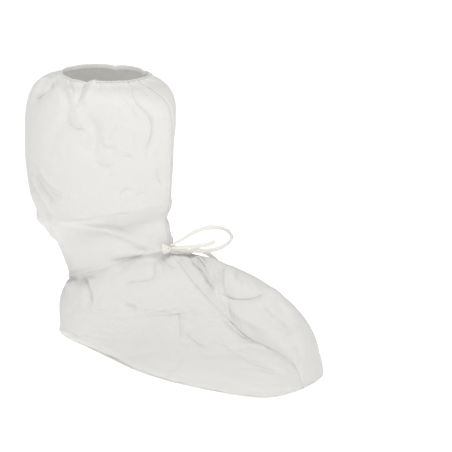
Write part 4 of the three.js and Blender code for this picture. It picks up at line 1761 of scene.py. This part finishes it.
class Value:
    """A number socket that adds Math nodes when it is used in an expression."""

    def __init__(self, kit: "Kit", socket: NodeSocket) -> None:
        self.kit = kit
        self.socket = socket

    def _math(self, operation: str, first: Any, *second: Any) -> "Value":
        """A Math node's result."""
        node = self.kit.node("ShaderNodeMath", {"operation": operation}, dict(enumerate((first, *second))))
        return Value(self.kit, node.outputs[0])

    def __add__(self, other: Any) -> "Value":
        """self + other."""
        return self._math("ADD", self, other)

    __radd__ = __add__

    def __mul__(self, other: Any) -> "Value":
        """self * other."""
        return self._math("MULTIPLY", self, other)

    __rmul__ = __mul__

    def __sub__(self, other: Any) -> "Value":
        """self - other."""
        return self._math("SUBTRACT", self, other)

    def __rsub__(self, other: Any) -> "Value":
        """other - self."""
        return self._math("SUBTRACT", other, self)

    def size(self) -> "Value":
        """Self without its sign."""
        return self._math("ABSOLUTE", self)

    def sine(self) -> "Value":
        """The sine of self in radians."""
        return self._math("SINE", self)

    def smooth(self, low: float, high: float) -> "Value":
        """0 below low, 1 above high and smooth between them."""
        settings, inputs = {"interpolation_type": "SMOOTHSTEP"}, {0: self, 1: low, 2: high}
        return Value(self.kit, self.kit.node("ShaderNodeMapRange", settings, inputs).outputs[0])


class Kit:
    """A node tree and the one method that adds nodes to it."""

    def __init__(self, tree: NodeTree) -> None:
        """Keeps the tree."""
        self.tree = tree

    def node(
        self, kind: str, settings: dict[str, Any] | None = None, inputs: dict[Any, Any] | None = None
    ) -> Node:
        """Adds a node.

        Args:
            kind: the node's type.
            settings: its properties, set first.
            inputs: values or links of its sockets, by name or number.

        Returns:
            The node.
        """
        node = self.tree.nodes.new(kind)
        for key, value in (settings or {}).items():
            setattr(node, key, value)
        for key, value in (inputs or {}).items():
            socket = node.inputs[key]
            if isinstance(value, Value):
                self.tree.links.new(value.socket, socket)
            elif isinstance(value, NodeSocket):
                self.tree.links.new(value, socket)
            else:
                socket.default_value = value
        return node


class Finish(Kit):
    """A material's node tree, with the nodes that the finishes share."""

    def __init__(self, name: str) -> None:
        """Starts an empty material.

        Args:
            name: its name.
        """
        self.material = bpy.data.materials.new(name)
        self.material.use_nodes = True
        super().__init__(self.material.node_tree)
        self.tree.nodes.clear()

    def in_mm(self, place: NodeSocket) -> NodeSocket:
        """A place in metres, in millimetres."""
        inputs = {0: place, "Scale": 1 / MM}
        return self.node("ShaderNodeVectorMath", {"operation": "SCALE"}, inputs).outputs[0]

    def cloth_place(self) -> NodeSocket:
        """The place on the cloth, in millimetres, from the piece's UV map."""
        return self.in_mm(self.node("ShaderNodeUVMap", {"uv_map": "cloth"}).outputs[0])

    def object_place(self) -> NodeSocket:
        """The place on the piece, in millimetres."""
        return self.in_mm(self.node("ShaderNodeTexCoord").outputs["Object"])

    def attribute(self, name: str) -> Value:
        """A named number of the piece's corner points."""
        return Value(self, self.node("ShaderNodeAttribute", {"attribute_name": name}).outputs["Fac"])

    def noise(self, place: Any, scale: float, detail: float, rough: float = 0.5, warp: float = 0.0) -> Value:
        """Noise from 0 to 1 with scale waves to the millimetre."""
        inputs = {"Vector": place, "Scale": scale, "Detail": detail, "Roughness": rough, "Distortion": warp}
        return Value(self, self.node("ShaderNodeTexNoise", {"noise_dimensions": "3D"}, inputs).outputs[0])

    def bumps(self, first: Value, second: Value, pitch: float, low: float, high: float) -> Value:
        """Rows of raised dots, a pitch apart, that rise between low and high."""
        turn = math.tau / pitch
        return ((first * turn).sine() * (second * turn).sine()).smooth(low, high)

    def stretch(self, place: Any, factors: Point) -> NodeSocket:
        """A place stretched along its axes."""
        return self.node("ShaderNodeVectorMath", {"operation": "MULTIPLY"}, {0: place, 1: factors}).outputs[0]

    def parts(self, place: Any) -> list[Value]:
        """The three numbers of a place."""
        return [Value(self, part) for part in self.node("ShaderNodeSeparateXYZ", None, {0: place}).outputs]

    def blend(self, share: Any, first: Colour, second: Colour) -> NodeSocket:
        """A colour between two."""
        return self.node("ShaderNodeMix", {"data_type": "RGBA"}, {0: share, 6: first, 7: second}).outputs[2]

    def close(self, surface: Node) -> Material:
        """Ends the tree with a shader and hands over the material."""
        self.node("ShaderNodeOutputMaterial", None, {"Surface": surface.outputs[0]})
        return self.material

    def finish(
        self,
        colour: Any,
        rough: Any,
        height_mm: Value,
        constants: dict[str, Any],
        through: float = 0.0,
        tint: Colour = (1.0, 1.0, 1.0, 1.0),
    ) -> Material:
        """Closes the tree with a Principled shader and a bump from a height in millimetres.

        Args:
            colour: the base colour.
            rough: the roughness.
            height_mm: the bump's height.
            constants: other sockets of the shader.
            through: share of the light that passes through thin cloth.
            tint: the colour of that light.

        Returns:
            The material.
        """
        bump = self.node("ShaderNodeBump", None, {"Strength": 1.0, "Distance": 1.0, "Height": height_mm * MM})
        inputs = {"Base Color": colour, "Roughness": rough, "Normal": bump.outputs[0], **constants}
        shader = self.node("ShaderNodeBsdfPrincipled", None, inputs)
        if through:
            passing = self.node("ShaderNodeBsdfTranslucent", None, {"Color": tint, "Normal": bump.outputs[0]})
            parts = {0: through, 1: shader.outputs[0], 2: passing.outputs[0]}
            shader = self.node("ShaderNodeMixShader", None, parts)
        return self.close(shader)


@dataclass(frozen=True)
class Nonwoven:
    """White spunbonded cloth: matted fibres, a fine embossed grid and small crinkles.

    Attributes:
        name: the material's name.
        light: its lightest colour.
        dark: its darkest colour.
        passed: the colour of the light that passes through it.
        through: share of the light that passes through it.
        emboss_pitch: from one embossed dot to the next.
        emboss_mm: depth of the dots.
        fibre_mm: height of the fibres.
        matting_mm: height of the uneven matting.
        crinkle_mm: height of the crinkles.
        line_mm: depth of a crease's sharp line.
        line_reach: half its width.
        glow: strength of the painted glow on the lining, an emission in place of light that comes through
            from outside.
    """

    name: str = "nonwoven_cloth"
    light: Colour = (0.82, 0.812, 0.795, 1.0)
    dark: Colour = (0.76, 0.75, 0.73, 1.0)
    passed: Colour = (0.79, 0.781, 0.763, 1.0)
    through: float = 0.16
    emboss_pitch: float = 1.7
    emboss_mm: float = 0.03
    fibre_mm: float = 0.035
    matting_mm: float = 0.12
    crinkle_mm: float = 0.38
    line_mm: float = 0.42
    line_reach: float = 1.3
    glow: float = 0.3

    def make(self) -> Material:
        """Builds the material.

        Returns:
            The material.
        """
        kit = Finish(self.name)
        place = kit.cloth_place()
        u, v, _ = kit.parts(place)
        emboss = kit.bumps(u, v, self.emboss_pitch, 0.35, 0.8)
        fibre = kit.noise(kit.stretch(place, (1.0, 0.28, 1.0)), 1.4, 4.0, 0.65)
        matting = kit.noise(place, 0.16, 3.0, 0.6)
        folds = kit.noise(place, 0.05, 2.0, 0.55, 0.6)
        cells = kit.node(
            "ShaderNodeTexVoronoi",
            {"feature": "DISTANCE_TO_EDGE"},
            {"Vector": kit.stretch(place, (1.0, 0.8, 1.0)), "Scale": 0.075, "Randomness": 1.0},
        )
        line = 1 - Value(kit, cells.outputs["Distance"]).smooth(0.0, 0.16)
        sharp = 1 - kit.attribute("crease_away").size().smooth(0.0, self.line_reach)
        uneven = kit.noise(place, 0.12, 1.0) * 1.3 + 0.2
        height = fibre * self.fibre_mm - emboss * self.emboss_mm
        height = height + line * self.crinkle_mm * folds.smooth(0.35, 0.75) + matting * self.matting_mm
        height = height - sharp * kit.attribute("crease_keen") * uneven * self.line_mm
        colour = kit.blend(matting * 0.5 + fibre * 0.35 + emboss * 0.15, self.dark, self.light)
        rough = 0.56 + fibre * 0.14 - emboss * 0.05
        # Painted light: emission on the lining, in place of light that comes through the cloth and in at the
        # opening.
        glowing = kit.attribute("lining") * self.glow
        look = {
            "Sheen Weight": 0.15,
            "Sheen Roughness": 0.4,
            "Specular IOR Level": 0.35,
            "Emission Color": kit.blend(glowing, (0.0, 0.0, 0.0, 1.0), self.light),
            "Emission Strength": 1.0,
        }
        return kit.finish(colour, rough, height, look, self.through, self.passed)


@dataclass(frozen=True)
class SoleFilm:
    """A coated sole cloth, a little darker, with a fine grip pattern.

    Attributes:
        name: the material's name.
        light: its lightest colour.
        dark: its darkest colour.
        grip_pitch: from one grip dot to the next.
        grip_mm: height of the dots.
        mottle_mm: height of its unevenness.
    """

    name: str = "sole_film"
    light: Colour = (0.84, 0.835, 0.79, 1.0)
    dark: Colour = (0.78, 0.775, 0.72, 1.0)
    grip_pitch: float = 3.2
    grip_mm: float = 0.18
    mottle_mm: float = 0.1

    def make(self) -> Material:
        """Builds the material.

        Returns:
            The material.
        """
        kit = Finish(self.name)
        place = kit.object_place()
        x, y, _ = kit.parts(place)
        grip = kit.bumps(x, y, self.grip_pitch, 0.1, 0.7)
        mottle = kit.noise(place, 0.12, 4.0, 0.6)
        height = grip * self.grip_mm + mottle * self.mottle_mm
        colour = kit.blend(mottle * 0.7 + grip * 0.3, self.dark, self.light)
        return kit.finish(colour, 0.5 + mottle * 0.2, height, {"Specular IOR Level": 0.4})


@dataclass(frozen=True)
class TieTape:
    """A narrow twill tape, slightly creamier than the cloth.

    Attributes:
        name: the material's name.
        light: its lightest colour.
        dark: its darkest colour.
        from_uv: True where its twill follows the piece's UV map.
        twill_pitch: from one twill line to the next.
        rib_pitch: from one rib to the next.
    """

    name: str = "tie_tape"
    light: Colour = (0.82, 0.8, 0.755, 1.0)
    dark: Colour = (0.74, 0.715, 0.665, 1.0)
    from_uv: bool = True
    twill_pitch: float = 0.8
    rib_pitch: float = 0.45

    def make(self) -> Material:
        """Builds the material.

        Returns:
            The material.
        """
        kit = Finish(self.name)
        place = kit.cloth_place() if self.from_uv else kit.object_place()
        u, v, _ = kit.parts(place)
        twill = ((u + v) * (math.tau / self.twill_pitch)).sine() * 0.5 + 0.5
        rib = (v * (math.tau / self.rib_pitch)).sine() * 0.5 + 0.5
        lint = kit.noise(place, 0.7, 3.0, 0.6)
        height = twill * 0.05 + rib * 0.02 + lint * 0.05
        colour = kit.blend(twill * 0.35 + lint * 0.65, self.dark, self.light)
        look = {"Sheen Weight": 0.25, "Specular IOR Level": 0.25}
        return kit.finish(colour, 0.75 + lint * 0.15, height, look)


@dataclass(frozen=True)
class Thread:
    """White sewing thread with a visible twist.

    Attributes:
        name: the material's name.
        light: its lightest colour.
        dark: its darkest colour.
    """

    name: str = "sewing_thread"
    light: Colour = (0.84, 0.84, 0.82, 1.0)
    dark: Colour = (0.7, 0.7, 0.68, 1.0)

    def make(self) -> Material:
        """Builds the material.

        Returns:
            The material.
        """
        kit = Finish(self.name)
        ply = kit.noise(kit.object_place(), 3.0, 1.0)
        return kit.finish(kit.blend(ply, self.dark, self.light), 0.5 + ply * 0.2, ply * 0.03, {})


@dataclass(frozen=True)
class Floor:
    """A plain pale floor, bright enough to show no edge.

    Attributes:
        colour: its colour.
        glow: its own brightness.
    """

    colour: Colour = (0.62, 0.62, 0.62, 1.0)
    glow: float = 0.82

    def make(self) -> Material:
        """Builds the material.

        Returns:
            The material.
        """
        kit = Finish("floor")
        look = {
            "Base Color": self.colour,
            "Roughness": 0.9,
            "Specular IOR Level": 0.0,
            "Emission Color": (1.0, 1.0, 1.0, 1.0),
            "Emission Strength": self.glow,
        }
        return kit.close(kit.node("ShaderNodeBsdfPrincipled", None, look))


# ---- stitches ----


@dataclass
class Stitching:
    """Rows of stitches along seams, by Geometry Nodes.

    Attributes:
        pitch: from one stitch to the next.
        length: length of a stitch.
        thread: thickness of the thread.
        sizes: the least and the largest size of a stitch, as a share of the usual one.
        facets: faces round a stitch and along it.
    """

    pitch: float = 3.2
    length: float = 2.5
    thread: float = 0.4
    sizes: Pair = (0.85, 1.1)
    facets: tuple[int, int] = (6, 4)

    def tree(self, material: Material) -> NodeTree:
        """The node tree that lays stitches along a line of edges.

        Args:
            material: the thread.

        Returns:
            The tree, with its sizes as named inputs.
        """
        tree = bpy.data.node_groups.new("stitch_row", "GeometryNodeTree")
        face = tree.interface
        face.new_socket("Geometry", in_out="INPUT", socket_type="NodeSocketGeometry")
        for name in ("Pitch", "Length", "Thread"):
            face.new_socket(name, in_out="INPUT", socket_type="NodeSocketFloat")
        face.new_socket("Seed", in_out="INPUT", socket_type="NodeSocketInt")
        face.new_socket("Geometry", in_out="OUTPUT", socket_type="NodeSocketGeometry")
        add = Kit(tree).node
        given = add("NodeGroupInput").outputs
        curve = add("GeometryNodeMeshToCurve", None, {0: given["Geometry"]})
        spacing = {"Curve": curve.outputs[0], "Length": given["Pitch"]}
        points = add("GeometryNodeCurveToPoints", {"mode": "LENGTH"}, spacing).outputs
        around_it, along_it = self.facets
        ball = {"Segments": around_it, "Rings": along_it, "Radius": 0.5}
        bead = add("GeometryNodeMeshUVSphere", None, ball)
        size = add("ShaderNodeCombineXYZ", None, {0: given["Thread"], 1: given["Thread"], 2: given["Length"]})
        stretched = {"Geometry": bead.outputs["Mesh"], "Scale": size.outputs[0]}
        stitch = add("GeometryNodeTransform", None, stretched)
        least, largest = self.sizes
        chance = {2: least, 3: largest, "Seed": given["Seed"]}
        vary = add("FunctionNodeRandomValue", {"data_type": "FLOAT"}, chance)
        placed = {
            "Points": points["Points"],
            "Instance": stitch.outputs[0],
            "Rotation": points["Rotation"],
            "Scale": vary.outputs[1],
        }
        row = add("GeometryNodeInstanceOnPoints", None, placed)
        real = add("GeometryNodeRealizeInstances", None, {0: row.outputs[0]})
        dressed = add("GeometryNodeSetMaterial", None, {"Geometry": real.outputs[0], "Material": material})
        add("NodeGroupOutput", None, {0: dressed.outputs[0]})
        return tree

    def build(self, name: str, lines: Sequence[Array], material: Material) -> Object:
        """Lays stitches along lines.

        Args:
            name: the piece's name.
            lines: lines of points in millimetres.
            material: the thread.

        Returns:
            The piece.
        """
        verts, edges = [], []
        for line in lines:
            first = len(verts)
            verts += (line * MM).tolist()
            edges += [(first + k, first + k + 1) for k in range(len(line) - 1)]
        mesh = bpy.data.meshes.new(name + "_line")
        mesh.from_pydata(verts, edges, [])
        guide = link_mesh(name + "_line", mesh)
        tree = self.tree(material)
        modifier = guide.modifiers.new("stitches", "NODES")
        modifier.node_group = tree
        sizes = {"Pitch": self.pitch * MM, "Length": self.length * MM, "Thread": self.thread * MM}
        wanted = {**sizes, "Seed": SEEDS["stitches"]}
        for item in tree.interface.items_tree:
            if item.in_out == "INPUT" and item.name in wanted:
                modifier[item.identifier] = wanted[item.name]
        graph = bpy.context.evaluated_depsgraph_get()
        graph.update()
        made = bpy.data.meshes.new_from_object(guide.evaluated_get(graph))
        bpy.data.objects.remove(guide)
        made.name = name
        piece = link_mesh(name, made)
        made.polygons.foreach_set("use_smooth", [True] * len(made.polygons))
        put_on(piece, material)
        return piece


# ---- studio ----


@dataclass(frozen=True)
class Lamp:
    """A square soft light.

    Attributes:
        name: its name.
        place: where it hangs, in metres.
        size: length of its side.
        power: its power in watts.
    """

    name: str
    place: Point
    size: float
    power: float


@dataclass
class Studio:
    """The floor, the lights and the camera.

    Attributes:
        eye: where the camera stands, in metres.
        aim: the point in the middle of its view.
        lens: its focal length in millimetres.
        sensor: the width of its sensor in millimetres.
        floor_half: half the floor's side.
        lit: the point that the lamps face.
        lamps: the lamps.
        sky: brightness of the light from all round.
    """

    eye: Point = (-1.16533, -1.12535, 0.572)
    aim: Point = (0.06162, -0.11343, 0.13256)
    lens: float = 123.5
    sensor: float = 36.0
    floor_half: float = 40.0
    lit: Point = (0.0, -0.08, 0.12)
    lamps: tuple[Lamp, ...] = (
        Lamp("key", (-0.65, -0.72, 2.05), 0.8, 22.7),
        Lamp("fill", (-1.6, -1.6, 0.5), 1.0, 1.3),
    )
    sky: float = 0.53

    @staticmethod
    def place(name: str, data: Any, at: Point, towards: Point) -> Object:
        """Puts a camera or a lamp into the scene.

        Args:
            name: its name.
            data: its camera or light data.
            at: where it stands.
            towards: the point that it faces.

        Returns:
            The object.
        """
        obj = bpy.data.objects.new(name, data)
        bpy.context.collection.objects.link(obj)
        obj.location = at
        obj.rotation_mode = "QUATERNION"
        obj.rotation_quaternion = (Vector(towards) - Vector(at)).to_track_quat("-Z", "Y")
        return obj

    def camera(self) -> None:
        """Places the camera."""
        data = bpy.data.cameras.new("camera")
        data.lens = self.lens
        data.sensor_width = self.sensor
        bpy.context.scene.camera = self.place("camera", data, self.eye, self.aim)

    def build(self) -> None:
        """Makes the floor and the lights."""
        low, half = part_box("sole")[0][2], self.floor_half
        mesh = bpy.data.meshes.new("floor")
        corners = [(-half, -half, low), (half, -half, low), (half, half, low), (-half, half, low)]
        mesh.from_pydata(corners, [], [(0, 1, 2, 3)])
        mesh.materials.append(Floor().make())
        link_mesh("floor", mesh)
        for lamp in self.lamps:
            data = bpy.data.lights.new(lamp.name, "AREA")
            data.size = lamp.size
            data.energy = lamp.power
            self.place(lamp.name, data, lamp.place, self.lit)
        world = bpy.data.worlds.new("studio")
        bpy.context.scene.world = world
        world.use_nodes = True
        back = world.node_tree.nodes["Background"]
        back.inputs["Color"].default_value = (1.0, 1.0, 1.0, 1.0)
        back.inputs["Strength"].default_value = self.sky
        bpy.context.scene.view_settings.view_transform = "Standard"
        bpy.context.scene.view_settings.look = "None"


# ---- all of it ----


def main() -> None:
    """Builds the overshoe and its studio."""
    logging.basicConfig(level=logging.INFO, format="%(name)s %(message)s")
    studio = Studio()
    studio.camera()
    cloth, film = Nonwoven().make(), SoleFilm().make()
    hem_cloth = Nonwoven("hem_cloth", crinkle_mm=0.1).make()
    tape, knot_tape = TieTape().make(), TieTape("knot_tape", from_uv=False).make()
    thread = Thread().make()

    tie = AnkleTie()
    bow = tie.bow(tape)
    upper = Upper()
    outer, inner = upper.build(cloth)
    sole = Sole().build(film)
    hem = Hem().build(closed_line(upper.rim), hem_cloth)
    band = tie.band(upper.waist(), tape)
    knot = tie.knot(knot_tape)
    seams = Stitching().build("seam_stitches", upper.seam_lines(), thread)

    studio.build()
    for piece in (outer, inner, sole, hem, band, knot, seams, *bow):
        LOG.info("%s: %d faces", piece.name, len(piece.data.polygons))


if __name__ == "__main__":
    main()
